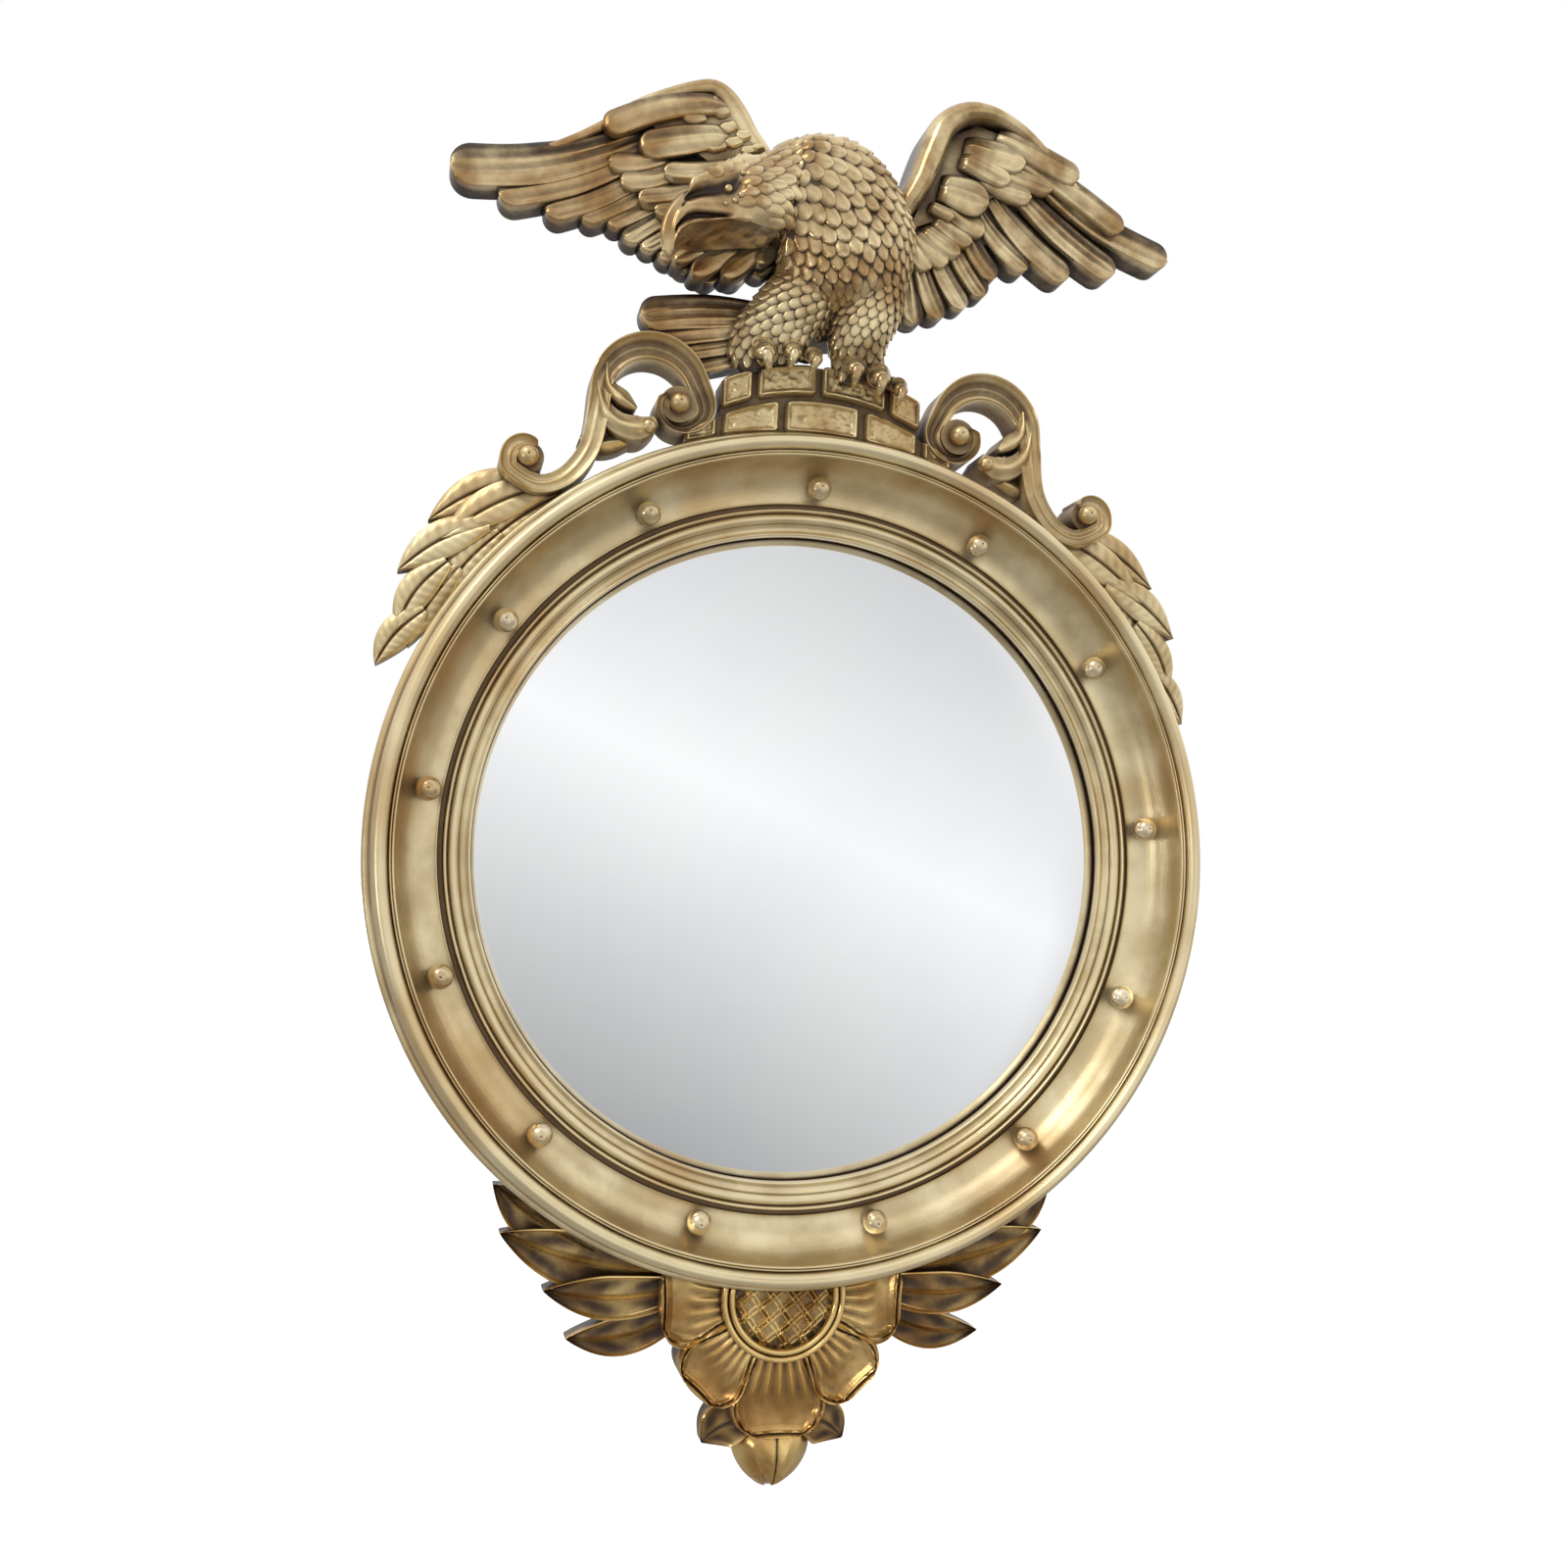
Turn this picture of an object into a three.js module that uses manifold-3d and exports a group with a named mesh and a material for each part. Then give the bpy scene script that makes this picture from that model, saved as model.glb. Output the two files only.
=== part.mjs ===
// Girandole mirror: a round gilt frame with a convex glass and balls in its cove, under an eagle on a stone
// plinth between two leafy scrolls, over a sunflower pendant. Millimetres, +Z up. The wall is the plane
// Y = 0, the front faces -Y, and the origin is the middle of the ring on the wall plane.
import * as THREE from 'three';
import { mergeVertices } from 'three/addons/utils/BufferGeometryUtils.js';
import Module from 'manifold-3d';

// ---- Driving dimensions ----
const ringRadius = 230;          // outermost radius of the frame ring
const beadWidth = 15.4;          // width of the big outer moulding, seen from the front
const beadFront = 49;            // how far that moulding stands off the wall
const coveWidth = 21.6;          // radial width of the hollow that holds the balls
const coveEdgeFront = 45;        // front of the hollow's outer edge
const coveFootFront = 19;        // front of the hollow's foot
const innerLipWidth = 3.2;       // the ring's own small lip in front of the sight rim
const innerLipDepth = 2.5;       // its thickness
const sightRimWidth = 14.3;      // the sight rim's face, from the ring's lip in to the glass
const sightCrestFront = 24;      // front of the sight rim's crest
const sightLipFront = 14;        // front of the sight rim where it meets the glass
const glassLap = 6;              // how far the glass runs under the sight rim
const glassThickness = 3.5;
const glassBulge = 22;           // rise of the convex glass
const boardThickness = 4;
const boardLedge = 10.5;         // width of the ledge that the backboard is screwed to
const boardScrews = 8;
const ballCount = 13;
const ballRadius = 6.5;
const ballFront = 35.5;          // front of each ball
const pegRadius = 2;
const pegDepth = 14;             // the peg's hole ends this far from the wall
const screwHeadRadius = 3.4;
const screwShankRadius = 1.5;
const screwHeadHeight = 1.8;
const boardScrewLength = 11;
const strapScrewLength = 13;
const strapWidth = 22;
const strapThickness = 3;
const strapReach = 22;           // how far each strap runs onto the ring and onto the carving
const strapScrewInset = 7;       // from the strap's end to its first screw
const plinthFront = 28;
const plinthHalfWidth = 57;
const plinthHeight = 40;         // above the top of the ring
const courseHeight = 20;         // top of the lower course of stones, above the top of the ring
const archRadius = 125;          // both courses are arched on this radius
const stoneRim = 2.6;            // raised border round each stone
const stoneRecess = 1.8;
const stoneJoint = 5;
const featherRidge = 1.8;        // a feather's quill stands this much over its edges
const wingBack = 6;              // the back of wings and tail, off the wall
const wingFront = 24;            // the front of the long feathers
const covertStep = 4;            // each row of shorter feathers stands this much over the one below
const scrollFront = 30;
const scrollEyeFront = 37;
const leafFront = 20;
const leafTipFront = 13;
const bossRadius = 34;
const bossFront = 31;
const petalFront = 26;
const budRadius = 21;
const budLength = 45;
const hangerWidth = 44;
const hangerHeight = 12;
const hangerThickness = 1.4;
const nailRadius = 1.1;
const seam = 0.3;                // clearance between pieces that touch

const ringSides = 42;
const ballSides = 8;
const screwSides = 6;
const facetTolerance = 0.06;
const beyond = 3 * ringRadius;   // cutting blocks reach this far, past every piece
const ringTop = ringRadius;      // crest pieces are drawn from this height
const carvingBack = strapThickness + seam;
const coveEdgeRadius = ringRadius - beadWidth;
const coveFootRadius = coveEdgeRadius - coveWidth;
const rimRadius = coveFootRadius - innerLipWidth;   // the sight rim's face ends here
const sightRadius = rimRadius - sightRimWidth;      // and the glass shows inside this
const rebateRadius = rimRadius + innerLipDepth;     // and its hidden flange ends here
const rebateFront = coveFootFront - innerLipDepth;
const boardRadius = rebateRadius + boardLedge;
const boardScrewCircle = (rebateRadius + boardRadius) / 2;
const ballCircle = coveFootRadius + coveWidth / 3;

// ---- Materials ----
function paint(name, color, roughness, metalness) {
  return new THREE.MeshStandardMaterial({ name, color, roughness, metalness });
}
const champagneGilt = paint('champagne_gilt', 0xb2a078, 0.42, 0.75);
const eagleGilt = paint('eagle_gilt', 0xa88a58, 0.38, 0.8);
const pendantGilt = paint('pendant_gilt', 0xa9813f, 0.32, 0.85);
const silvered = paint('silvered_glass', 0xe4e8ea, 0.03, 1);
const boardWood = paint('backboard_wood', 0x6e543a, 0.8, 0);
const steel = paint('zinc_steel', 0x9a9c9e, 0.4, 0.9);

// ---- Solids ----
const wasm = await Module();
wasm.setup();
const group = new THREE.Group();

function toSolid(geometry) {
  const bare = new THREE.BufferGeometry();
  bare.setAttribute('position', geometry.getAttribute('position').clone());
  if (geometry.index) bare.setIndex(geometry.index.clone());
  const merged = mergeVertices(bare, 1e-4);
  const index = Array.from(merged.index.array);
  const triangles = [];
  for (let i = 0; i < index.length; i += 3) {
    const [a, b, c] = index.slice(i, i + 3);
    if (a !== b && b !== c && c !== a) triangles.push(a, b, c);
  }
  const vertProperties = new Float32Array(merged.getAttribute('position').array);
  const build = (list) => new wasm.Manifold(
    new wasm.Mesh({ numProp: 3, vertProperties, triVerts: Uint32Array.from(list) }));
  const solid = build(triangles);
  return solid.volume() > 0 ? solid : build(triangles.reverse());
}

function toGeometry(solid) {
  const mesh = solid.getMesh();
  const geometry = new THREE.BufferGeometry();
  geometry.setAttribute('position', new THREE.BufferAttribute(new Float32Array(mesh.vertProperties), 3));
  geometry.setIndex(new THREE.BufferAttribute(new Uint32Array(mesh.triVerts), 1));
  const flat = geometry.toNonIndexed();
  flat.computeVertexNormals();
  return flat;
}

// A cut can leave crumbs and needle facets along a thin edge: the piece is the largest body without them.
function trimmed(solid) {
  const body = solid.decompose().reduce((best, one) => (one.volume() > best.volume() ? one : best));
  return body.simplify(facetTolerance);
}

function add(name, solid, material) {
  const mesh = new THREE.Mesh(toGeometry(trimmed(solid)), material);
  mesh.name = name;
  group.add(mesh);
}

function join(solids) {
  return solids.reduce((whole, one) => whole.add(one));
}

function cut(solid, ...tools) {
  return tools.reduce((rest, tool) => rest.subtract(tool), solid);
}

// Rings of points, each with the same count, skinned and closed with a fan at both ends.
function loft(rings) {
  const count = rings[0].length;
  const positions = rings.flat(2);
  const index = [];
  for (let r = 0; r + 1 < rings.length; r += 1) {
    for (let i = 0; i < count; i += 1) {
      const a = r * count + i;
      const b = r * count + ((i + 1) % count);
      index.push(a, b, a + count, b, b + count, a + count);
    }
  }
  for (const [ring, first, turn] of [[rings[0], 0, 0], [rings.at(-1), (rings.length - 1) * count, 1]]) {
    const centre = positions.length / 3;
    for (let k = 0; k < 3; k += 1) positions.push(ring.reduce((sum, p) => sum + p[k], 0) / count);
    for (let i = 0; i < count; i += 1) {
      const edge = [first + i, first + ((i + 1) % count)];
      index.push(edge[turn], centre, edge[1 - turn]);
    }
  }
  const geometry = new THREE.BufferGeometry();
  geometry.setAttribute('position', new THREE.Float32BufferAttribute(positions, 3));
  geometry.setIndex(index);
  return toSolid(geometry);
}

// A limb through stations [x, y, z, half width, half depth], each an ellipse square to the way it runs.
function limb(stations, sides, grow = 0) {
  const centres = stations.map(([x, y, z]) => new THREE.Vector3(x, y, z));
  return loft(stations.map(([, , , width, depth], s) => {
    const before = centres[Math.max(s - 1, 0)];
    const after = centres[Math.min(s + 1, centres.length - 1)];
    const along = after.clone().sub(before).normalize();
    const across = new THREE.Vector3(0, 1, 0).cross(along).normalize();
    const out = along.clone().cross(across);
    return Array.from({ length: sides }, (_, i) => {
      const turn = (2 * Math.PI * i) / sides;
      const point = centres[s].clone();
      point.addScaledVector(across, (width + grow) * Math.cos(turn));
      point.addScaledVector(out, (depth + grow) * Math.sin(turn));
      return point.toArray();
    });
  }));
}

const featherShape = [[0, 0.6], [0.5, 1], [0.9, 0.9], [1, 0.45]];
const leafShape = [[0, 0.5], [0.35, 1], [0.7, 0.72], [1, 0.06]];
const petalShape = [[0, 0.55], [0.35, 0.8], [0.75, 1], [0.92, 0.9], [1, 0.62]];

// A feather, leaf or petal seen from the front, from its root to its tip in X and Z, with a raised quill. Its
// front goes from rootFront to tipFront off the wall, and its middle bows sideways.
function blade({ root, tip, width, shape, rootFront, tipFront = rootFront, back, bow = 0, grow = 0 }) {
  const run = new THREE.Vector2(tip[0] - root[0], tip[1] - root[1]);
  const length = run.length();
  const side = new THREE.Vector2(-run.y, run.x).divideScalar(length);
  return loft(shape.map(([share, spread]) => {
    const reach = share + (grow / length) * (2 * share - 1);
    const swing = bow * Math.sin(Math.PI * share);
    const x = root[0] + run.x * reach + side.x * swing;
    const z = root[1] + run.y * reach + side.y * swing;
    const half = (width / 2) * spread + grow;
    const ridge = -THREE.MathUtils.lerp(rootFront, tipFront, share) - grow;
    const edge = ridge + featherRidge;
    const rear = -back + grow;
    return [[-half, rear], [-half, edge], [0, ridge], [half, edge], [half, rear]]
      .map(([across, y]) => [x + side.x * across, y, z + side.y * across]);
  }));
}

// A flat outline in X and Z, from one distance off the wall to another.
function slab(outline, near, far) {
  const shape = new THREE.Shape(outline.map(([x, z]) => new THREE.Vector2(x, z)));
  const geometry = new THREE.ExtrudeGeometry(shape, { depth: far - near, bevelEnabled: false });
  geometry.rotateX(Math.PI / 2);
  geometry.translate(0, -near, 0);
  return toSolid(geometry);
}

// A turned piece on the ring's axis, from pairs of radius and distance off the wall.
function turned(profile, sides = ringSides) {
  const points = profile.map(([radius, front]) => new THREE.Vector2(radius, -front));
  if (profile[0][0] > 0) points.push(points[0].clone());
  return toSolid(new THREE.LatheGeometry(points, sides));
}

// The same, standing at a place in X and Z.
function turnedAt([x, z], profile, sides) {
  return turned(profile, sides).translate([x, 0, z]);
}

function onCircle(radius, degrees) {
  const turn = THREE.MathUtils.degToRad(degrees);
  return [radius * Math.sin(turn), radius * Math.cos(turn)];
}

// Points of an arc or spiral in X and Z. Angles are in degrees, from +X towards +Z.
function spiral([x, z], startRadius, endRadius, startAngle, endAngle, steps) {
  return Array.from({ length: steps + 1 }, (_, i) => {
    const turn = THREE.MathUtils.degToRad(THREE.MathUtils.lerp(startAngle, endAngle, i / steps));
    const radius = THREE.MathUtils.lerp(startRadius, endRadius, i / steps);
    return [x + radius * Math.cos(turn), z + radius * Math.sin(turn)];
  });
}

function mirrored(solid) {
  return solid.scale([-1, 1, 1]);
}

// What the crest and the pendant sit on: everything inside the ring's outer edge.
const ringSeat = turned([[0, -beyond], [ringRadius + seam, -beyond], [ringRadius + seam, beyond],
  [0, beyond]]);

// ---- Screws ----
function screw(place, top, length) {
  const neck = top + screwHeadHeight;
  return turnedAt(place, [[0, top], [screwHeadRadius, top], [screwShankRadius, neck],
    [screwShankRadius, top + length], [0, top + length + screwShankRadius]], screwSides);
}

function screwHole(place, top, length) {
  const deep = top + length + screwShankRadius + 2 * seam;
  const neck = top + screwHeadHeight + seam;
  return turnedAt(place, [[0, -5], [screwHeadRadius + seam, -5], [screwHeadRadius + seam, top],
    [screwShankRadius + seam, neck], [screwShankRadius + seam, deep], [0, deep]], screwSides);
}

// ---- Frame ring, sight rim, glass, backboard ----
const boardScrewPlaces = Array.from({ length: boardScrews }, (_, i) =>
  onCircle(boardScrewCircle, (360 * (i + 0.5)) / boardScrews));
const ballPlaces = Array.from({ length: ballCount }, (_, i) => onCircle(ballCircle, (-360 * i) / ballCount));
const strapBottom = ringTop - strapReach;
const strapTop = ringTop + strapReach;
const strapScrewPlaces = [strapBottom + strapScrewInset, strapTop - strapScrewInset]
  .flatMap((z) => [[-strapWidth / 4, z], [strapWidth / 4, z]]);
const screwSink = 0.2;           // every screw head lies this far under the face it holds

function strapShape(grow) {
  const half = strapWidth / 2 + grow;
  const low = strapBottom - grow;
  const high = strapTop + grow;
  return [[-half, low], [half, low], [half, high], [-half, high]];
}

const strapPocket = slab(strapShape(seam), -1, carvingBack);
const strapHoles = join(strapScrewPlaces.map((place) => screwHole(place, screwSink, strapScrewLength)));

function frameRing() {
  const bead = Array.from({ length: 5 }, (_, i) => {
    const turn = (Math.PI * i) / 4;
    const half = beadWidth * 0.44;
    return [ringRadius - half + half * Math.cos(turn), beadFront - 11 + 11 * Math.sin(turn)];
  });
  const cove = Array.from({ length: 5 }, (_, i) => {
    const turn = (Math.PI / 2) * (1 - i / 4);
    return [coveFootRadius + coveWidth * Math.sin(turn),
      coveFootFront + (coveEdgeFront - coveFootFront) * (1 - Math.cos(turn))];
  });
  const ring = turned([
    [boardRadius, 0], [ringRadius - 8, 0], [ringRadius, 9], ...bead,
    ...cove, [rimRadius, coveFootFront + 1], [rimRadius, rebateFront],
    [rebateRadius, rebateFront], [rebateRadius, boardThickness + seam],
    [boardRadius, boardThickness + seam],
  ]);
  const pegWall = pegRadius + seam;
  const pegHole = [[0, pegDepth - seam], [pegWall, pegDepth - seam], [pegWall, 60], [0, 60]];
  const holes = [
    ...ballPlaces.map((place) => turnedAt(place, pegHole, ballSides)),
    ...boardScrewPlaces.map((place) => screwHole(place, screwSink, boardScrewLength)),
  ];
  const upside = (solid) => solid.rotate([0, 180, 0]);
  return cut(ring, ...holes, strapPocket, upside(strapPocket), strapHoles, upside(strapHoles));
}

function sightRim() {
  const face = rimRadius - seam;
  const flange = rebateRadius - seam;
  const flangeFront = rebateFront - seam;
  const rear = boardThickness + 2 * seam;
  const glassSeat = sightRadius + glassLap + seam;
  return turned([
    [glassSeat, rear], [flange, rear], [flange, flangeFront], [face, flangeFront],
    [face, sightCrestFront - 3], [face - 2.2, sightCrestFront], [face - 4.6, sightCrestFront - 2],
    [sightRadius + 4, sightLipFront + 5], [sightRadius + 1, sightLipFront + 4.4],
    [sightRadius, sightLipFront], [sightRadius, sightLipFront - 2], [glassSeat, sightLipFront - 2],
  ]);
}

const glassRadius = sightRadius + glassLap;
const glassFront = sightLipFront - 2 - seam;   // front of the glass at its edge

function glass() {
  const steps = 3;
  const sphere = (sightRadius ** 2 + glassBulge ** 2) / (2 * glassBulge);
  const rise = (radius) => glassBulge - sphere + Math.sqrt(sphere ** 2 - radius ** 2);
  const radii = Array.from({ length: steps + 1 }, (_, i) => (sightRadius * i) / steps);
  const front = radii.map((radius) => [radius, glassFront + rise(radius)]);
  const rear = radii.map((radius) => [radius, glassFront + rise(radius) - glassThickness]).reverse();
  return turned([...front, [glassRadius, glassFront], [glassRadius, glassFront - glassThickness], ...rear]);
}

function backboard() {
  const edge = boardRadius - seam;
  const board = turned([[0, 0], [edge, 0], [edge, boardThickness], [0, boardThickness]]);
  return cut(board, ...boardScrewPlaces.map((place) => screwHole(place, screwSink, boardScrewLength)));
}

function ball(place) {
  const middle = ballFront - ballRadius;
  const steps = 4;
  const foot = Math.asin(pegRadius / ballRadius);
  const round = Array.from({ length: steps + 1 }, (_, i) => {
    const turn = THREE.MathUtils.lerp(foot, Math.PI, i / steps);
    return [i === steps ? 0 : ballRadius * Math.sin(turn), middle - ballRadius * Math.cos(turn)];
  });
  return turnedAt(place, [[0, pegDepth], [pegRadius, pegDepth], ...round], ballSides);
}

add('ring_frame', frameRing(), champagneGilt);
add('sight_rim', sightRim(), champagneGilt);
add('mirror_glass', glass(), silvered);
add('backboard', backboard(), boardWood);
boardScrewPlaces.forEach((place, i) => {
  add(`backboard_screw_${i + 1}`, screw(place, screwSink, boardScrewLength), steel);
});
ballPlaces.forEach((place, i) => {
  add(`ball_${String(i + 1).padStart(2, '0')}`, ball(place), champagneGilt);
});

// ---- Plinth: two arched courses of dressed stones ----
const hangerMiddle = ringTop + plinthHeight - hangerHeight;
const hangerNailSpread = hangerWidth / 2 - 4;
const hangerRear = carvingBack - seam;
const nailReach = hangerRear + 13;
const lowerStones = [[-76, -60], [-55, -25], [-20, 20], [25, 55], [60, 76]];
const upperJoints = [-plinthHalfWidth, -38, -2, 38, plinthHalfWidth];

function arch(top, x) {
  return ringTop + top - archRadius + Math.sqrt(archRadius ** 2 - x ** 2);
}

// An arched block between two heights, straight below and round above.
function archOutline(left, right, bottom, top, inset, steps) {
  const across = Array.from({ length: steps + 1 }, (_, i) =>
    THREE.MathUtils.lerp(left + inset, right - inset, i / steps));
  const under = across.map((x) => [x, bottom(x) + inset]);
  const over = across.map((x) => [x, top(x) - inset]).reverse();
  return [...under, ...over];
}

function stone(left, right, bottom, top) {
  const block = slab(archOutline(left, right, bottom, top, 0, 2), carvingBack, plinthFront);
  const panel = archOutline(left, right, bottom, top, stoneRim, 2);
  return block.subtract(slab(panel, plinthFront - stoneRecess, plinthFront + 1));
}

const plinthFoot = () => ringTop - 26;
const lowerTop = (x) => arch(courseHeight, x);
const upperTop = (x) => arch(plinthHeight, x);
const lowerHalfWidth = lowerStones.at(-1)[1];

// Everything the plinth can take up, for what stands on it or beside it to be cut by.
function plinthBlock(sink, front) {
  const steps = sink < 0 ? 16 : 6;
  const rear = carvingBack + Math.min(sink, 0);
  const lower = archOutline(-lowerHalfWidth, lowerHalfWidth, plinthFoot, lowerTop, sink, steps);
  const upper = archOutline(-plinthHalfWidth, plinthHalfWidth, plinthFoot, upperTop, sink, steps);
  return slab(lower, rear, front).add(slab(upper, rear, front));
}

function plinth() {
  const gap = stoneJoint / 4;
  const lower = lowerStones.map(([left, right]) => stone(left, right, plinthFoot, lowerTop));
  const upper = upperJoints.slice(1).map((joint, i) => {
    const left = upperJoints[i] + (i > 0 ? gap : 0);
    const right = joint - (i < upperJoints.length - 2 ? gap : 0);
    return stone(left, right, (x) => arch(courseHeight + 1, x), upperTop);
  });
  return join([plinthBlock(1, plinthFront - stoneRecess - 1), ...lower, ...upper]);
}

const plinthZone = plinthBlock(-seam, plinthFront + seam);
const nailHoles = join([-1, 1].map((side) => turnedAt([side * hangerNailSpread, hangerMiddle],
  [[0, -5], [nailRadius + seam, -5], [nailRadius + seam, nailReach], [0, nailReach]], 8)));
add('rock_plinth', cut(plinth(), ringSeat, strapHoles, nailHoles), champagneGilt);

// ---- Eagle ----
// Stations are [x, off the wall, above the ring's top, half width, half depth].
const bodyStations = [[4, 28, 60, 28, 14], [6, 30, 75, 37, 22], [8, 32, 95, 39, 26], [6, 33, 115, 38, 26],
  [2, 33, 132, 34, 25], [-2, 34, 146, 26, 19], [-5, 35, 156, 16, 11], [-6, 35, 161, 6, 4]];
const neckStations = [[0, 36, 128, 26, 22], [-16, 43, 130, 25, 21], [-31, 52, 124, 22, 18]];
const leftLegStations = [[-12, 28, 78, 17, 15], [-20, 26, 62, 18, 14], [-25, 25, 50, 20, 12],
  [-26, 25, 43.5, 19, 10]];
const rightLegStations = [[18, 28, 78, 17, 15], [17, 26, 62, 16, 13], [15, 25, 50, 16, 11],
  [14, 25, 43.5, 15, 9]];
const headStations = [[-20, 46, 128, 21, 18], [-36, 55, 121, 19, 16], [-52, 61, 113, 16, 14],
  [-66, 65, 107, 13, 12], [-79, 68, 101, 9, 9], [-90, 69, 94, 7, 6.5], [-97, 69, 84, 4.6, 4],
  [-98, 69, 74, 1.4, 1.4]];
const jawStations = [[-50, 61, 105, 9, 8], [-66, 65, 97, 7, 6], [-80, 67, 90, 4, 3.5],
  [-88, 67, 86, 1.2, 1.2]];
const browStations = [[-58, 77, 116, 2, 2], [-68, 76, 114, 3.4, 3], [-78, 74, 108, 2, 2]];

function crestLimb(stations, sides, grow = 0) {
  return limb(stations.map(([x, off, up, ...size]) => [x, -off, ringTop + up, ...size]), sides, grow);
}

// Everything nearer to the wall than a distance.
function wallSide(distance) {
  return slab([[-beyond, -beyond], [beyond, -beyond], [beyond, beyond], [-beyond, beyond]], -beyond,
    distance);
}

function torso(grow) {
  return join([crestLimb(bodyStations, 12, grow), crestLimb(neckStations, 10, grow),
    crestLimb(leftLegStations, 8, grow), crestLimb(rightLegStations, 8, grow)]);
}

function head() {
  return join([crestLimb(headStations, 9), crestLimb(jawStations, 6), crestLimb(browStations, 5)]);
}

const torsoZone = torso(seam);
add('eagle_torso', cut(torso(0), plinthZone, wallSide(carvingBack)), eagleGilt);
add('eagle_head', cut(head(), torsoZone), eagleGilt);

// Toes stand side by side on the plinth's arched top, and their claws hook down over its front.
const leftToes = [-37, -22, -8];
const rightToes = [13, 28, 41];
const toeRadius = 5;
const clawDrop = 10;             // a claw's point hangs this far below the plinth's top

function foot(toes) {
  const rest = (x) => upperTop(x) - ringTop + 0.8 * toeRadius;
  const claws = toes.map((x) => crestLimb([
    [x, plinthFront - 3, rest(x), 0.9 * toeRadius, 0.9 * toeRadius],
    [x, plinthFront + 4, rest(x), toeRadius, toeRadius],
    [x, plinthFront + 9, rest(x) - 0.45 * clawDrop, 0.7 * toeRadius, 0.7 * toeRadius],
    [x + 1, plinthFront + 7, rest(x) - 0.8 * clawDrop, 0.45 * toeRadius, 0.45 * toeRadius],
    [x + 1, plinthFront + 3.5, rest(x) - 0.8 * toeRadius - clawDrop, 0.8, 0.8],
  ], 6));
  const pad = crestLimb(toes.map((x) => [x, plinthFront - 2, rest(x), toeRadius, toeRadius]), 6);
  return cut(join([pad, ...claws]), torsoZone, plinthZone);
}

add('foot_left', foot(leftToes), eagleGilt);
add('foot_right', foot(rightToes), eagleGilt);

// Feathers are [root x, root up, tip x, tip up, width, bow], with up measured from the top of the ring.
const leftPrimaries = [[-104, 160, -207, 124, 23, 7], [-98, 154, -181, 111, 17, 5],
  [-92, 148, -156, 106, 15, 4], [-86, 142, -136, 106, 13, 3], [-82, 138, -122, 105, 12, 3],
  [-76, 134, -113, 98, 12, 2], [-68, 128, -104, 95, 12, 2], [-60, 122, -94, 90, 13, 2],
  [-48, 116, -84, 87, 14, 0], [-40, 110, -73, 82, 14, 0], [-32, 108, -58, 85, 14, 0],
  [-26, 110, -42, 88, 13, 0]];
const leftCoverts = [[-76, 172, -128, 149, 14, 2], [-80, 160, -122, 138, 13, 2], [-74, 152, -116, 125, 13, 2],
  [-66, 142, -105, 117, 12, 1], [-56, 134, -96, 113, 12, 1], [-44, 128, -80, 112, 14, 0]];
const leftScapulars = [[-66, 164, -105, 142, 15, 1], [-56, 152, -93, 132, 13, 1], [-46, 144, -78, 126, 13, 0],
  [-60, 172, -86, 160, 13, 0]];
const leftEdge = [[-36, 26, 146, 5, 6], [-44, 28, 162, 6, 7], [-56, 30, 179, 7, 8], [-70, 31, 184, 7, 8],
  [-88, 30, 176, 6.5, 7], [-110, 28, 164, 6, 6], [-133, 25, 150, 5, 5], [-152, 22, 142, 3, 4]];
const rightPrimaries = [[112, 176, 204, 130, 19, -4], [100, 166, 171, 122, 16, -4],
  [92, 156, 143, 116, 15, -3], [84, 147, 117, 115, 14, -3], [76, 138, 98, 109, 13, -2],
  [68, 128, 91, 98, 13, -2], [60, 120, 81, 88, 14, -2], [53, 114, 66, 80, 14, -1], [45, 110, 50, 74, 14, 0]];
const rightCoverts = [[104, 182, 173, 142, 14, -2], [90, 172, 127, 158, 14, -1], [84, 162, 115, 150, 13, -1],
  [66, 136, 88, 125, 13, -1], [58, 128, 81, 114, 14, -1], [52, 122, 70, 106, 14, -1],
  [45, 120, 56, 100, 13, 0], [78, 150, 104, 138, 16, 0]];
const rightScapulars = [[94, 186, 143, 165, 14, -1], [72, 174, 108, 164, 18, 0], [64, 150, 88, 134, 18, 0],
  [74, 166, 98, 152, 16, 0]];
const rightEdge = [[40, 26, 132, 7, 6], [52, 28, 148, 7.5, 8], [58, 30, 165, 7.5, 8], [66, 32, 181, 7.5, 9],
  [78, 32, 189, 7.5, 9], [94, 31, 191, 7.5, 8], [114, 28, 184, 7, 7], [136, 26, 168, 6, 5],
  [158, 23, 151, 4, 4]];

function feathers(list, front, back) {
  return list.map(([rootX, rootUp, tipX, tipUp, width, bow]) => blade({
    root: [rootX, ringTop + rootUp], tip: [tipX, ringTop + tipUp], width, bow, shape: featherShape,
    rootFront: front, tipFront: front - 2, back,
  }));
}

const leftPalm = [[-30, 112], [-30, 140], [-46, 160], [-60, 178], [-86, 172], [-112, 154], [-98, 130],
  [-62, 112]];
const rightPalm = [[40, 112], [42, 132], [58, 160], [68, 182], [104, 184], [122, 168], [92, 130],
  [62, 112]];

function wing(palm, primaries, coverts, scapulars, edge) {
  const web = slab(palm.map(([x, up]) => [x, ringTop + up]), wingBack, wingFront);
  const rows = [
    ...feathers(primaries, wingFront, wingBack),
    ...feathers(coverts, wingFront + covertStep, wingBack + 4),
    ...feathers(scapulars, wingFront + 2 * covertStep, wingBack + 4),
  ];
  return cut(join([web, crestLimb(edge, 6), ...rows]), torsoZone, wallSide(wingBack));
}

add('wing_left', wing(leftPalm, leftPrimaries, leftCoverts, leftScapulars, leftEdge), eagleGilt);
add('wing_right', wing(rightPalm, rightPrimaries, rightCoverts, rightScapulars, rightEdge), eagleGilt);

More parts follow.
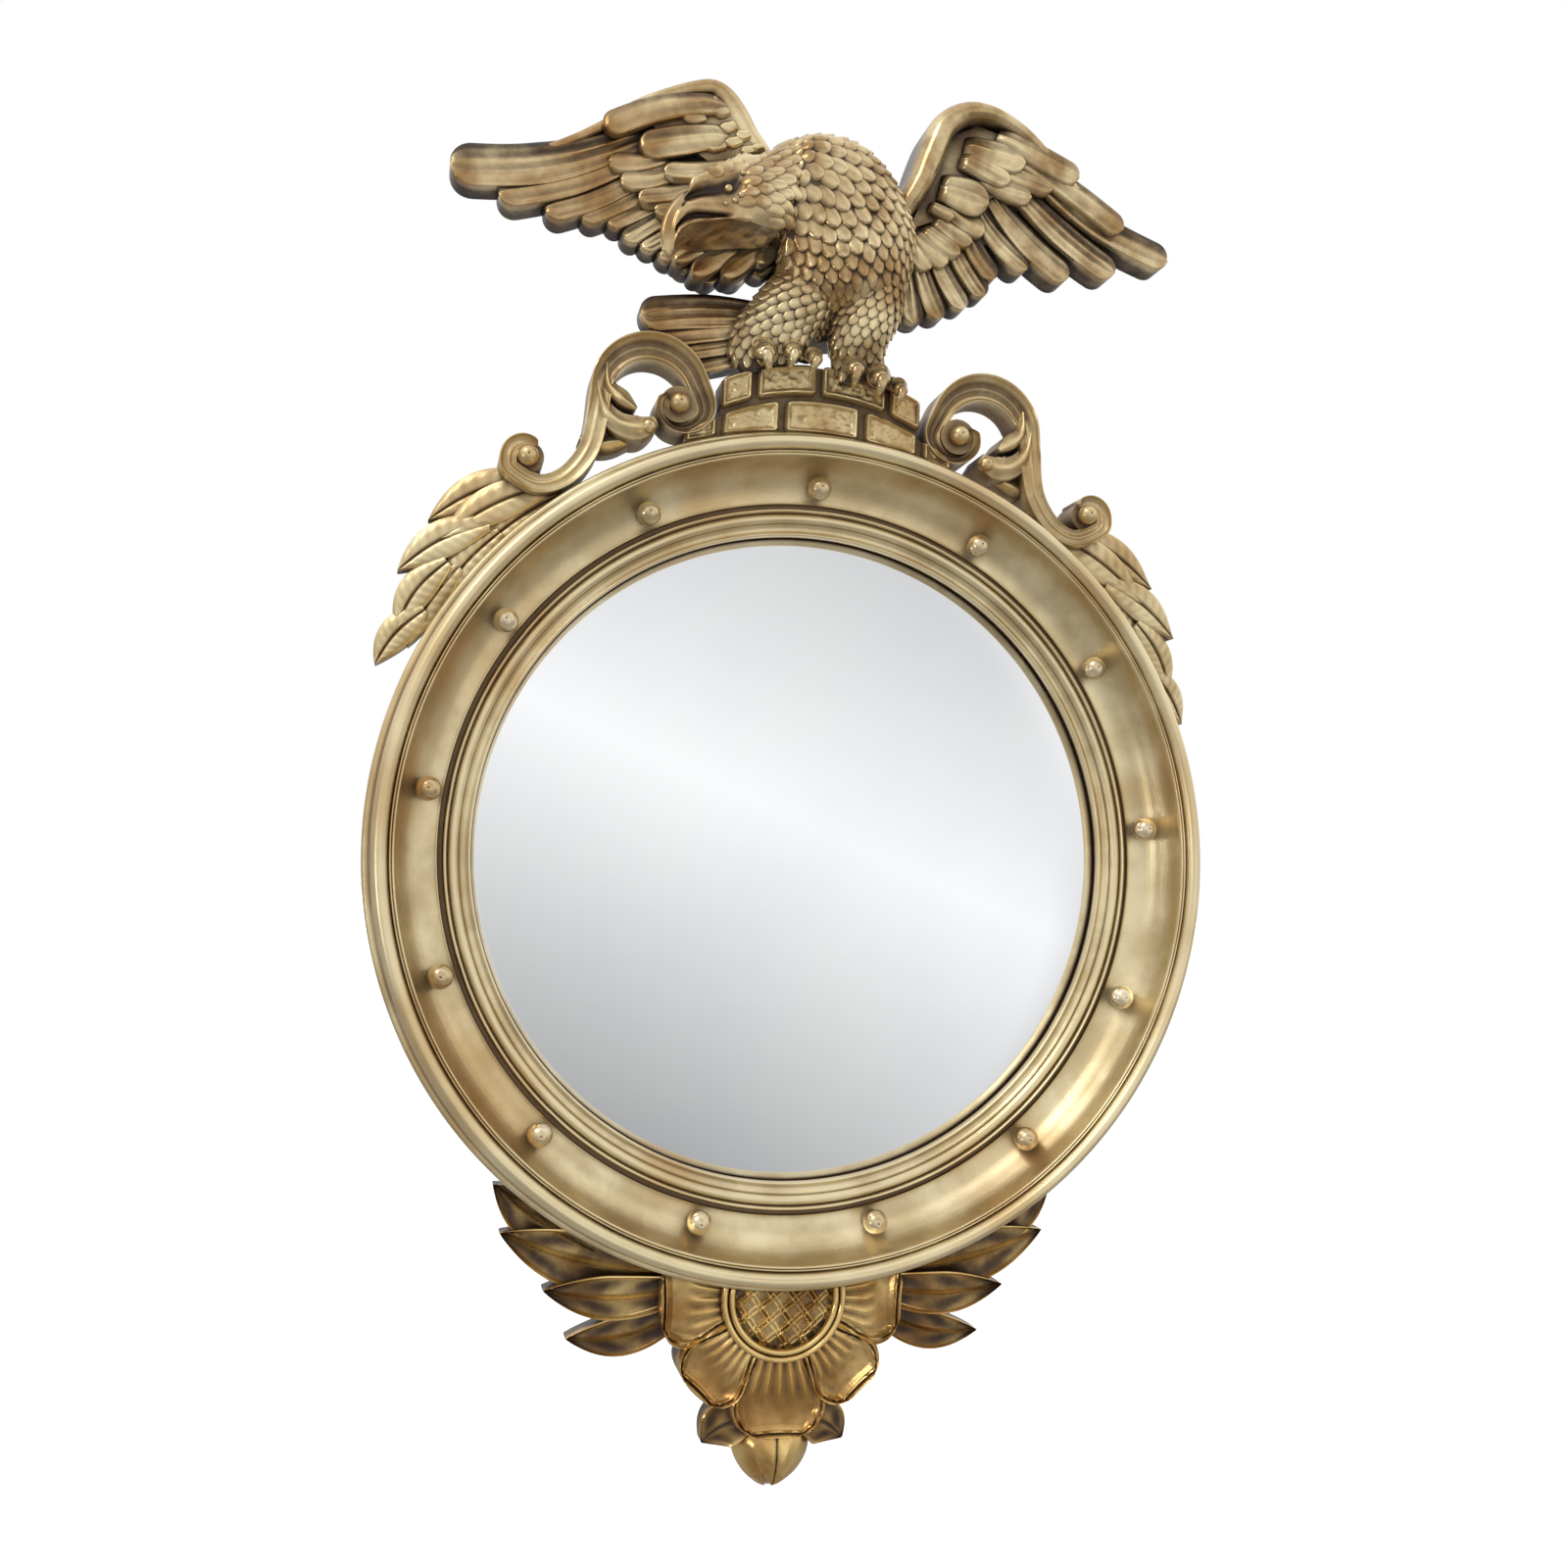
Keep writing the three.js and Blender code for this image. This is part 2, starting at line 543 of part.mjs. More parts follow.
// ---- Scrolls ----
// A scroll's ribbon runs from the small outer volute, up the stem, round the big loop and into its eye.
const outerVolute = [-158, -28];
const loopCentre = [-95, 12];
const loopRadius = 27.5;
const innerVolute = [-78, 15];
const outerEyeRadius = 6.5;
const innerEyeRadius = 8;
const ribbonHalf = 5.6;          // half the ribbon's width, seen from the front, at its widest
const ribbonHollow = 2.6;        // its front is hollowed this deep

function ribbonLine() {
  const start = spiral(outerVolute, 6, 12, 20, 225, 5);
  const stem = [[-152, -43], [-138, -37], [-127, -22], [-123, -4]];
  const loop = spiral(loopCentre, loopRadius, loopRadius, 172, 20, 8);
  const end = spiral(innerVolute, 16, 10, -10, -200, 6);
  return [...start, ...stem, ...loop, ...end];
}

function ribbon(grow) {
  const line = ribbonLine().map(([x, up]) => new THREE.Vector3(x, ringTop + up, 0));
  const curve = new THREE.CatmullRomCurve3(line, false, 'centripetal');
  const steps = 30;
  const back = -carvingBack + grow;
  const front = -scrollFront - grow;
  return loft(Array.from({ length: steps + 1 }, (_, step) => {
    const share = step / steps;
    const point = curve.getPointAt(share);
    const along = curve.getTangentAt(share);
    const half = ribbonHalf * (0.6 + 0.4 * Math.sin(Math.PI * share)) + grow;
    return [[-half, back], [-half, front], [0, front + ribbonHollow], [half, front], [half, back]]
      .map(([across, y]) => [point.x - along.y * across, y, point.y + along.x * across]);
  }));
}

function scroll(grow) {
  const rear = carvingBack - grow;
  const eye = ([x, up], radius) => turnedAt([x, ringTop + up], [[0, rear], [radius + grow, rear],
    [radius + grow, scrollFront + grow], [radius * 0.7 + grow, scrollEyeFront - 2 + grow],
    [0, scrollEyeFront + grow]], 10);
  const lobe = blade({
    root: [-122, ringTop + 12], tip: [-91, ringTop - 5], width: 15, bow: -14, shape: featherShape,
    rootFront: scrollFront - 4, tipFront: scrollFront + 2, back: carvingBack, grow,
  });
  return join([ribbon(grow), eye(outerVolute, outerEyeRadius), eye(innerVolute, innerEyeRadius), lobe]);
}

const scrollZone = scroll(seam);
const leftScroll = cut(scroll(0), ringSeat, plinthZone);
add('scroll_left', leftScroll, champagneGilt);
add('scroll_right', mirrored(leftScroll), champagneGilt);

// ---- Tail: long feathers passing behind the legs, towards the viewer's left ----
const tailFeathers = [[-22, 70, -102, 57, 19, -2], [-22, 60, -96, 46, 15, -3], [-24, 50, -84, 38, 13, -2],
  [-30, 44, -72, 31, 11, -1]];
const tail = join(feathers(tailFeathers, wingFront - 4, wingBack));
add('tail_feathers', cut(tail, torsoZone, plinthZone, scrollZone), eagleGilt);

// ---- Leaves on the ring's shoulders ----
// [root turn, root reach, tip turn, tip reach, width, bow]: degrees left of the top, and how far past the
// ring.
const shoulderLeaves = [[38.3, 12, 51.4, 35, 19, -6], [38.1, 6.5, 52.4, 22.5, 18, -4],
  [37.3, 1, 51.6, 5, 17, -3], [47.4, 9, 58.5, 30.5, 18, -4], [46.7, 3.5, 59, 3, 17, -3],
  [54.1, 12, 64.8, 14, 17, -4], [53.6, 6, 65.5, 4, 15, -3], [60.6, 6.5, 69.7, 17.5, 15, -3]];

function leaf(root, tip, width, bow) {
  return blade({
    root, tip, width, bow, shape: leafShape, rootFront: leafFront, tipFront: leafTipFront, back: carvingBack,
  });
}

const shoulderSpray = join(shoulderLeaves.map(([rootTurn, rootReach, tipTurn, tipReach, width, bow]) =>
  leaf(onCircle(ringRadius + rootReach, -rootTurn), onCircle(ringRadius + tipReach, -tipTurn), width, bow)));
const leftLeaves = cut(shoulderSpray, ringSeat, scrollZone);
add('leaf_spray_left', leftLeaves, champagneGilt);
add('leaf_spray_right', mirrored(leftLeaves), champagneGilt);

// ---- Pendant: half a sunflower, leaves and a bud ----
const bossCentre = [0, -ringRadius - 4];
const petals = [[-90, 66, 50], [-42, 66, 37], [0, 74, 50], [42, 66, 37], [90, 66, 50]];  // turn, reach, width
const bossBack = 16;             // the flower's own plate lies behind the boss

function boss(grow) {
  const radius = bossRadius + grow;
  const rear = bossBack - grow;
  const front = bossFront + grow;
  return turnedAt(bossCentre, [[0, rear], [radius, rear], [radius, front - 4], [radius - 2, front - 1],
    [radius - 5, front - 1], [radius - 6.5, front - 4], [radius * 0.45, front - 1], [0, front]], 24);
}

function flower(grow) {
  const round = petals.map(([turn, reach, width]) => {
    const [x, z] = onCircle(1, 180 - turn);
    const near = bossRadius - 8;
    return blade({
      root: [x * near, bossCentre[1] + z * near], tip: [x * reach, bossCentre[1] + z * reach], width,
      shape: petalShape, rootFront: petalFront - 4, tipFront: petalFront, back: carvingBack, grow,
    });
  });
  const plate = turnedAt(bossCentre, [[0, carvingBack - grow], [bossRadius + 3 + grow, carvingBack - grow],
    [bossRadius + 3 + grow, bossBack - seam + grow], [0, bossBack - seam + grow]], 24);
  return join([plate, ...round]);
}

const bossZone = boss(seam);
const flowerZone = flower(seam);
const pendantHoles = strapHoles.rotate([0, 180, 0]);
add('flower_boss', cut(boss(0), ringSeat), pendantGilt);
add('pendant_flower', cut(flower(0), ringSeat, bossZone, pendantHoles), pendantGilt);

// [root x, root drop, tip x, tip drop, width, bow], with the drop measured down from the ring's foot.
const pendantLeaves = [[-104, -16, -157, -52, 24, 3], [-52, -8, -150, -28, 30, 6], [-50, 0, -126, 2, 22, 6],
  [-52, 8, -113, 26, 20, 7]];
const pendantSpray = join(pendantLeaves.map(([rootX, rootDrop, tipX, tipDrop, width, bow]) =>
  leaf([rootX, -ringRadius - rootDrop], [tipX, -ringRadius - tipDrop], width, bow)));
const leftPendantLeaves = cut(pendantSpray, ringSeat, flowerZone, bossZone);
add('pendant_leaves_left', leftPendantLeaves, pendantGilt);
add('pendant_leaves_right', mirrored(leftPendantLeaves), pendantGilt);

function bud() {
  const flowerFoot = bossCentre[1] - petals[2][1];
  const top = flowerFoot + 16;
  const depth = (carvingBack + petalFront) / 2;
  const halfDepth = depth - carvingBack;
  const egg = [[0.02, 0.45], [0.3, 0.9], [0.55, 1], [0.78, 0.8], [0.93, 0.45], [1, 0.1]]
    .map(([share, size]) => [0, -depth, top - budLength * share, budRadius * size, halfDepth * size]);
  const sepals = [-1, 1].map((side) => blade({
    root: [side * 12, flowerFoot + 6], tip: [side * 40, flowerFoot - 5], width: 22, bow: side * 3,
    shape: leafShape, rootFront: petalFront - 6, tipFront: petalFront - 12, back: carvingBack,
  }));
  return cut(join([limb(egg, 12), ...sepals]), flowerZone);
}

add('pendant_bud', bud(), pendantGilt);

// ---- Back: steel straps, their screws and the sawtooth hanger ----
function strap() {
  return cut(slab(strapShape(0), 0, strapThickness), strapHoles);
}

function hanger() {
  const teeth = 7;
  const low = hangerMiddle - hangerHeight / 2 + 4;
  const toothed = hangerWidth - 16;
  const pitch = toothed / (2 * teeth);
  const under = Array.from({ length: 2 * teeth + 1 }, (_, i) =>
    [-toothed / 2 + pitch * i, low + (i % 2 ? 1.6 : 0)]);
  const half = hangerWidth / 2;
  const bottom = hangerMiddle - hangerHeight / 2;
  const outline = [[-half, bottom], [-toothed / 2 - 2, bottom], ...under, [toothed / 2 + 2, bottom],
    [half, bottom], [half, bottom + 8], [half - 3, bottom + hangerHeight], [3 - half, bottom + hangerHeight],
    [-half, bottom + 8]];
  return cut(slab(outline, hangerRear - hangerThickness, hangerRear), nailHoles);
}

function nail(side) {
  const head = hangerRear - hangerThickness - seam;
  return turnedAt([side * hangerNailSpread, hangerMiddle], [[0, head - 1], [2.4, head - 1], [2.4, head],
    [nailRadius, head], [nailRadius, nailReach - 2], [0, nailReach - seam]], 8);
}

add('crest_strap', strap(), steel);
strapScrewPlaces.forEach((place, i) => {
  add(`crest_strap_screw_${i + 1}`, screw(place, screwSink, strapScrewLength), steel);
});
add('pendant_strap', strap().rotate([0, 180, 0]), steel);
strapScrewPlaces.forEach((place, i) => {
  add(`pendant_strap_screw_${i + 1}`, screw(place, screwSink, strapScrewLength).rotate([0, 180, 0]), steel);
});
add('sawtooth_hanger', hanger(), steel);
[-1, 1].forEach((side, i) => add(`hanger_nail_${i + 1}`, nail(side), steel));

export default group;
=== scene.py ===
import math

import bmesh
import bpy
import numpy as np
from mathutils import Matrix, Vector, noise


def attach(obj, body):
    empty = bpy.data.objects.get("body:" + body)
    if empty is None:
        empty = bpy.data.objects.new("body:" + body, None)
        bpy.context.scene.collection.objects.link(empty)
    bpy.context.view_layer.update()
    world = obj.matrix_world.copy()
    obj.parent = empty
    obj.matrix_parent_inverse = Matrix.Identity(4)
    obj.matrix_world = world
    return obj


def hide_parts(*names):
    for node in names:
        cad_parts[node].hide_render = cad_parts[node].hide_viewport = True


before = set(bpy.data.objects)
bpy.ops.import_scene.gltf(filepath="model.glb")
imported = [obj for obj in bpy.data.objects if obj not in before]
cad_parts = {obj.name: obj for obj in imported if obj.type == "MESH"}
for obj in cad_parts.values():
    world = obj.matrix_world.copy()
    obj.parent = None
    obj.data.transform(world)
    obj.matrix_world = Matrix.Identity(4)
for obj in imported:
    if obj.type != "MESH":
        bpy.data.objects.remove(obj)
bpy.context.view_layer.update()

# 1. Frame ring
# The ring is turned from wood: a small bead and a big moulding outside, then two fine fillets and a deep
# cove. It is gessoed, painted in satin champagne gold and rubbed with brown, which stays in the quirks.

turned_steps = 288
metres = 0.001


class Carving:
    """The closed skins of one piece, in millimetres, and a tone for each point: wear and brown glaze, with
    painted shade on sides, undersides and recesses.
    """

    def __init__(self):
        self.points = []
        self.relief = []
        self.faces = []
        self.count = 0

    def skin(self, rows, relief, endless=False):
        """Add one closed skin, of rows of points round it, capped at both ends or joined end to end."""
        rows = np.asarray(rows, float)
        length, around = rows.shape[:2]
        index = self.count + np.arange(length * around).reshape(length, around)
        near = index if endless else index[:-1]
        far = np.roll(index, -1, 0) if endless else index[1:]
        quads = np.stack([near, np.roll(near, -1, 1), np.roll(far, -1, 1), far], -1)
        self.faces += quads.reshape(-1, 4).tolist()
        if not endless:
            self.faces += [index[0, ::-1].tolist(), index[-1].tolist()]
        self.points.append(rows.reshape(-1, 3))
        self.relief.append(np.broadcast_to(relief, (length, around)).ravel())
        self.count += length * around

    def made(self, name, finish, nodes, slot, crease=40):
        """Make the object and hide the model's parts that it stands for. Edges past so many degrees stay
        sharp.
        """
        mesh = bpy.data.meshes.new(name)
        mesh.from_pydata((np.concatenate(self.points) * metres).tolist(), [], self.faces)
        shell = bmesh.new()
        shell.from_mesh(mesh)
        bmesh.ops.recalc_face_normals(shell, faces=shell.faces)
        shell.to_mesh(mesh)
        shell.free()
        worn_and_shaded = mesh.attributes.new("relief", "FLOAT", "POINT")
        worn_and_shaded.data.foreach_set("value", np.concatenate(self.relief).astype(np.float32))
        mesh.shade_smooth()
        mesh.set_sharp_from_angle(angle=math.radians(crease))
        mesh.materials.append(finish)
        piece = bpy.data.objects.new(name, mesh)
        bpy.context.collection.objects.link(piece)
        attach(piece, "root")
        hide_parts(*nodes)


def turning(carving, profile, centre=(0.0, 0.0), steps=turned_steps, *, relief):
    """Turn a closed profile of (radius, distance off the wall) about an axis that stands off the wall."""
    radius, off = np.array(profile, float).T
    turn = np.linspace(0, 2 * math.pi, steps, endpoint=False)[:, None]
    rows = np.stack([centre[0] + radius * np.sin(turn), -off + 0 * turn,
                     centre[1] + radius * np.cos(turn)], -1)
    carving.skin(rows, np.array(relief)[None, :], endless=True)


def arc(middle, size, first, last, steps):
    """Points of an elliptical arc in a profile, by degrees from the radial direction to the front."""
    turn = np.radians(np.linspace(first, last, steps))
    return [(middle[0] + size[0] * math.cos(a), middle[1] + size[1] * math.sin(a)) for a in turn]


def sum_of(operation, swapped=False):
    """A shader sum for one of Python's signs."""
    def made(self, other):
        first, second = (other, self) if swapped else (self, other)
        return Tone.node("Math", {0: first, 1: second}, operation=operation)
    return made


class Tone:
    """A socket of the finish being mixed, so that shader sums read as sums."""

    tree = None
    __add__, __radd__ = sum_of("ADD"), sum_of("ADD", swapped=True)
    __sub__, __rsub__ = sum_of("SUBTRACT"), sum_of("SUBTRACT", swapped=True)
    __mul__, __truediv__, __pow__ = sum_of("MULTIPLY"), sum_of("DIVIDE"), sum_of("POWER")

    def __init__(self, socket):
        self.socket = socket

    @classmethod
    def fill(cls, socket, value):
        if isinstance(value, Tone):
            cls.tree.links.new(value.socket, socket)
        else:
            socket.default_value = value

    @classmethod
    def node(cls, kind, sockets=(), out=0, **settings):
        """Add a node with its settings and with numbers or tones in its sockets, for one of its outputs."""
        made = cls.tree.nodes.new("ShaderNode" + kind)
        for name, value in settings.items():
            setattr(made, name, value)
        for name, value in dict(sockets).items():
            cls.fill(made.inputs[name], value)
        return cls(made.outputs[out])

    def parts(self):
        """The x, y and z of a place."""
        return [Tone(out) for out in Tone.node("SeparateXYZ", {0: self}).socket.node.outputs]

    def between(self, low, high):
        """0 up to low, 1 from high on, and a smooth step in between."""
        return Tone.node("MapRange", {"Value": self, "From Min": low, "From Max": high},
                         interpolation_type="SMOOTHSTEP")

    def paint(self, base, top):
        """The base colour where this is 0, and the top one where it is 1."""
        return Tone.node("Mix", {0: self, 6: base, 7: top}, out=2, data_type="RGBA")


def colour(red, green, blue):
    """A paint swatch as a screen shows it, 0 to 255, in the values that the shader takes."""
    return tuple((c / 255 / 12.92 if c < 10 else ((c / 255 + 0.055) / 1.055) ** 2.4)
                 for c in (red, green, blue)) + (1.0,)


def finish(name):
    """A fresh material with its shader, ready for mixing."""
    material = bpy.data.materials.new(name)
    material.use_nodes = True
    Tone.tree = material.node_tree
    return material, material.node_tree.nodes["Principled BSDF"]


def lay(shader, **sockets):
    """Put values or tones on the shader's sockets, named with _ for a space."""
    for name, value in sockets.items():
        Tone.fill(shader.inputs[name.replace("_", " ")], value)


def place_on(out="Object"):
    return Tone.node("TexCoord", out=out)


def relief_on():
    """The tone that Carving.made stores for each point: wear and brown glaze, with painted shade on sides,
    undersides and recesses.
    """
    return Tone.node("Attribute", out="Fac", attribute_name="relief")


def speckle(scale, detail=3.0, place=None):
    return Tone.node("TexNoise", {"Vector": place or place_on(), "Scale": scale, "Detail": detail,
                                  "Roughness": 0.55}, normalize=True)


def dented(strength, depth, height):
    return Tone.node("Bump", {"Strength": strength, "Distance": depth, "Height": height})


def turned_streaks(ringwise, across):
    """Noise drawn out along the turning: how fast it changes round the ring, and across it."""
    x, y, z = place_on().parts()
    radius = (x * x + z * z) ** 0.5 + 0.0001
    drawn = Tone.node("CombineXYZ", {0: x / radius * ringwise, 1: (radius - y) * across,
                                     2: z / radius * ringwise})
    return speckle(1.0, 4.0, drawn)


def gilt(name, shade, bright, brown, gloss, streaks=False, patina_and_shade=0.5, dark=0.55):
    """Gold paint over gesso: brown glaze and painted shade in the hollows, bright wear and painted
    highlight where the carving stands high and open.
    """
    material, shader = finish(name)
    height = relief_on()
    # Painted shade: ambient occlusion pulls hollows and gaps towards the brown, on top of the brown glaze.
    ao_shade = Tone.node("AmbientOcclusion", {"Distance": 0.007}, out="AO", samples=6)
    cloud = speckle(34.0, 4.0)
    fine = speckle(950.0, 2.0)
    mottle = turned_streaks(0.8, 420.0) if streaks else speckle(150.0, 3.0)
    rubbed_and_lit = height * 0.95 + ao_shade * 0.5 + cloud * 0.25 + mottle * 0.3
    rubbed_and_lit = rubbed_and_lit.between(dark, 1.22 + patina_and_shade * 0.22)
    # Painted highlight: the bright gold goes where the carving stands high and open, as well as where the
    # gilding wears.
    high = (height * 0.8 + ao_shade * 0.3 + mottle * 0.5).between(1.12, 1.5)
    gold = high.paint(cloud.between(0.35, 0.68).paint(colour(*shade), colour(*bright)), colour(*bright))
    copper = colour(shade[0] * 0.95, shade[1] * 0.84, shade[2] * 0.68)
    gold = (speckle(11.0, 2.0).between(0.47, 0.66) * 0.5).paint(gold, copper)
    lay(shader,
        Base_Color=rubbed_and_lit.paint(colour(*brown), gold),
        Metallic=rubbed_and_lit * 0.56 + 0.34,
        Roughness=0.92 - gloss - rubbed_and_lit * 0.24 + fine * 0.12 + mottle * 0.08,
        Normal=dented(0.35, 0.0004, fine * 0.35 + mottle * 0.65))
    return material


champagne_turned = gilt("champagne_gilt_turned", (202, 182, 140), (232, 216, 176), (98, 75, 47), 0.44,
                        streaks=True)

ring = Carving()
ring_section = [(202.8, 0.2), (221.5, 0.2), (224.5, 1.2), (227.6, 4.5), (229.0, 9.0), (229.2, 16.0),
                (229.0, 24.0)]
ring_section += arc((228.0, 29.2), (2.0, 3.0), -70, 100, 12)
ring_section += [(226.8, 32.4), (225.6, 32.9), (225.0, 34.0), (225.0, 38.0)]
ring_section += arc((220.9, 42.2), (4.4, 6.8), -12, 172, 26)
ring_section += [(216.6, 41.8), (216.3, 42.4)]
ring_section += arc((215.6, 43.9), (0.7, 1.7), 0, 170, 8)
ring_section += [(214.9, 43.4)]
ring_section += arc((214.2, 44.2), (0.7, 1.4), 20, 150, 7)
ring_section += [(193.4 + 20.2 * math.sin(t), 19.0 + 25.2 * (1 - math.cos(t)))
                 for t in np.radians(np.linspace(84, 5, 30))]
ring_section += [(193.6, 19.2), (193.4, 20.3), (192.7, 20.5), (192.4, 19.6), (192.2, 18.4), (190.0, 18.0),
                 (190.0, 5.0), (202.8, 5.0)]
ring_quirks = {226.8, 225.6, 225.0, 216.6, 216.3, 214.9, 192.2, 190.0, 192.4}
ring_relief = [1.0 if off > 46 or r in (193.4, 192.7) or 43.9 < off < 46 and r < 217
               else 0.12 if r in ring_quirks else 0.62 for r, off in ring_section]
turning(ring, ring_section, relief=ring_relief)
ring.made("turned_ring", champagne_turned, ["ring_frame"], "champagne_gilt", crease=32)

# 2. Sight rim
# A second turned ring lies inside the cove's foot and holds the glass. It has a crest, a round, a hollow
# and a small lip, with an undercut toned dark as painted shadow, which shows as a black line against the
# glass.

rim = Carving()
rim_section = [(181.8, 4.8), (189.3, 4.8), (189.6, 16.0), (189.6, 20.6)]
rim_section += arc((188.7, 21.6), (0.9, 1.5), -10, 170, 9)
rim_section += [(187.6, 21.4), (187.2, 20.6)]
rim_section += arc((184.6, 19.6), (2.7, 3.2), 20, 150, 16)
rim_section += [(181.9, 20.6), (181.6, 20.1)]
rim_section += arc((178.9, 21.9), (3.0, 4.0), -38, -118, 9)
rim_section += [(177.1, 18.6)]
rim_section += arc((176.4, 17.5), (0.9, 1.4), 60, 190, 9)
rim_section += [(175.5, 15.4), (175.6, 13.4), (178.4, 13.4), (178.6, 12.2), (181.8, 12.2)]
rim_quirks = {187.6, 187.2, 181.9, 181.6, 178.4, 178.6}
# The undercut and the lip's underside get 0: painted shadow between rim and glass. The other quirks keep
# brown glaze.
rim_relief = [1.0 if r < 177 and off > 16.5 or off > 22.4 else 0.0 if r in rim_quirks or off < 13.5 else 0.6
              for r, off in rim_section]
turning(rim, rim_section, relief=rim_relief)
rim.made("turned_sight_rim", champagne_turned, ["sight_rim"], "champagne_gilt", crease=32)

# 3. Convex glass
# The glass is slumped to a shallow dome, silvered and painted grey on its back. It shows as a clean mirror
# with a faint cool cast, and its edge under the rim is toned dark as painted shade.

dome_radius = 175.5
dome_rise = 22.0
dome_sphere = (dome_radius ** 2 + dome_rise ** 2) / (2 * dome_rise)
glass_front, glass_rear = 11.7, 8.2


def dome(radius, off):
    """How far off the wall the glass's dome stands, over a rim at the distance off."""
    return off + dome_rise - dome_sphere + math.sqrt(dome_sphere ** 2 - radius ** 2)


glass = Carving()
glass_radii = [0.02] + [dome_radius * i / 48 for i in range(1, 49)]
glass_section = [(r, dome(r, glass_front)) for r in glass_radii]
glass_section += [(178.0, 11.7), (181.2, 11.6), (181.5, 11.3), (181.5, 8.5), (181.2, 8.2), (175.5, 8.2)]
glass_section += [(r, dome(r, glass_rear)) for r in reversed(glass_radii[:-1])]
# Painted shade: the edge under the rim, and the rear's outer ring, get the dark grey.
glass_relief = [0.0 if off < 9 and r > 170 or r > 176 else 1.0 for r, off in glass_section]
turning(glass, glass_section, steps=192, relief=glass_relief)
silvering, shader = finish("silvered_glass_convex")
haze = speckle(9.0, 3.0)
front = relief_on().between(0.3, 0.6)
silver = haze.between(0.3, 0.8).paint(colour(246, 247, 248), colour(240, 242, 244))
lay(shader, Base_Color=front.paint(colour(58, 60, 60), silver),
    Metallic=front * 0.9 + 0.1, Roughness=0.5 - front * 0.485 + haze * 0.006)
glass.made("convex_mirror", silvering, ["mirror_glass"], "silvered_glass", crease=50)

# 4. Backboard and its screws
# A round stained board closes the back of the ring. Its eight countersunk screws are zinc-plated steel with
# a crossed slot.

stained, shader = finish("backboard_stain")
grain, pore = (speckle(1.0, detail, Tone.node("Mapping", {"Vector": place_on(), "Scale": drawn}))
               for detail, drawn in ((5.0, (90.0, 90.0, 5.0)), (2.0, (900.0, 900.0, 26.0))))
pore = pore.between(0.36, 0.5)
wood = grain.between(0.3, 0.72).paint(colour(104, 76, 50), colour(148, 114, 78))
lay(shader, Base_Color=pore.paint(colour(70, 50, 34), wood), Roughness=0.62 + grain * 0.25,
    Normal=dented(0.5, 0.0005, grain + pore * 0.5))

board = Carving()
board_section = [(0.02, 0.0), (201.4, 0.0), (202.4, 1.0), (202.4, 3.6), (202.0, 4.0), (0.02, 4.0)]
turning(board, board_section, steps=160, relief=[0.5] * 6)
board.made("back_board", stained, ["backboard"], "backboard_wood")

plated, shader = finish("zinc_plated_steel")
brush = speckle(700.0, 3.0)
film = speckle(60.0, 3.0)
lay(shader, Base_Color=film.between(0.3, 0.75).paint(colour(150, 153, 156), colour(190, 192, 192)),
    Metallic=0.95, Roughness=0.28 + brush * 0.2, Normal=dented(0.2, 0.0002, brush))


def screw(name, node, place):
    """A countersunk head with a crossed slot, and a plain shank behind it."""
    head = Carving()
    turning(head, [(0.02, 0.5), (3.1, 0.35), (3.4, 0.6), (1.6, 2.0), (1.5, 11.0), (0.02, 12.4)], place, 24,
            relief=[0.5] * 6)
    for turn in (0.5, 2.07):
        along = np.array([math.cos(turn), 0, math.sin(turn)])
        side = np.array([-math.sin(turn), 0, math.cos(turn)])
        rows = [[np.array([place[0], -0.45, place[1]]) + along * a + side * b + np.array([0, c, 0])
                 for b, c in ((-0.3, 0.16), (0.3, 0.16), (0.3, -0.3), (-0.3, -0.3))] for a in (-2.1, 2.1)]
        head.skin(rows, 0.0)
    head.made(name, plated, [node], "zinc_steel")


screw_circle = 197.55
for i in range(8):
    turn = math.radians(360 * (i + 0.5) / 8)
    screw(f"board_screw_{i + 1}", f"backboard_screw_{i + 1}",
          (screw_circle * math.sin(turn), screw_circle * math.cos(turn)))

# 5. Thirteen balls
# Each ball is turned with a thin collar and a peg, and the peg is glued into a hole in the cove. Brown
# gathers round the collar and in the small dimple at its front, where the lathe's centre was.

champagne = gilt("champagne_gilt_carved", (196, 172, 126), (226, 208, 164), (84, 62, 38), 0.46)
ball_finish = gilt("champagne_gilt_balls", (196, 172, 130), (236, 222, 188), (92, 66, 42), 0.56, patina_and_shade=0.2)
ball_circle, ball_middle, ball_radius = 200.2, 29.0, 6.5
ball_section = [(0.02, 16.0), (2.3, 16.0), (2.3, 20.0), (4.6, 21.4), (5.5, 22.4), (5.6, 23.3), (5.1, 24.0)]
ball_section += arc((0.0, ball_middle), (ball_radius, ball_radius), -38, 84, 22)
ball_section += [(0.45, ball_middle + 6.2), (0.02, ball_middle + 6.05)]
ball_relief = [0.0, 0.0, 0.0, 0.1, 0.35, 0.4, 0.0, 0.05, 0.3] + [0.8] * 20 + [0.2, 0.0]
for i in range(13):
    turn = -2 * math.pi * i / 13
    ball = Carving()
    turning(ball, ball_section, (ball_circle * math.sin(turn), ball_circle * math.cos(turn)), 48,
            relief=ball_relief)
    ball.made(f"turned_ball_{i + 1:02d}", ball_finish, [f"ball_{i + 1:02d}"], "champagne_gilt", crease=60)

# 6. Crest strap and pendant strap
# Two flat steel straps are let into the back of the ring and screwed to it and to the carving above and
# below. They're bare zinc plate, with countersunk screws in pairs.

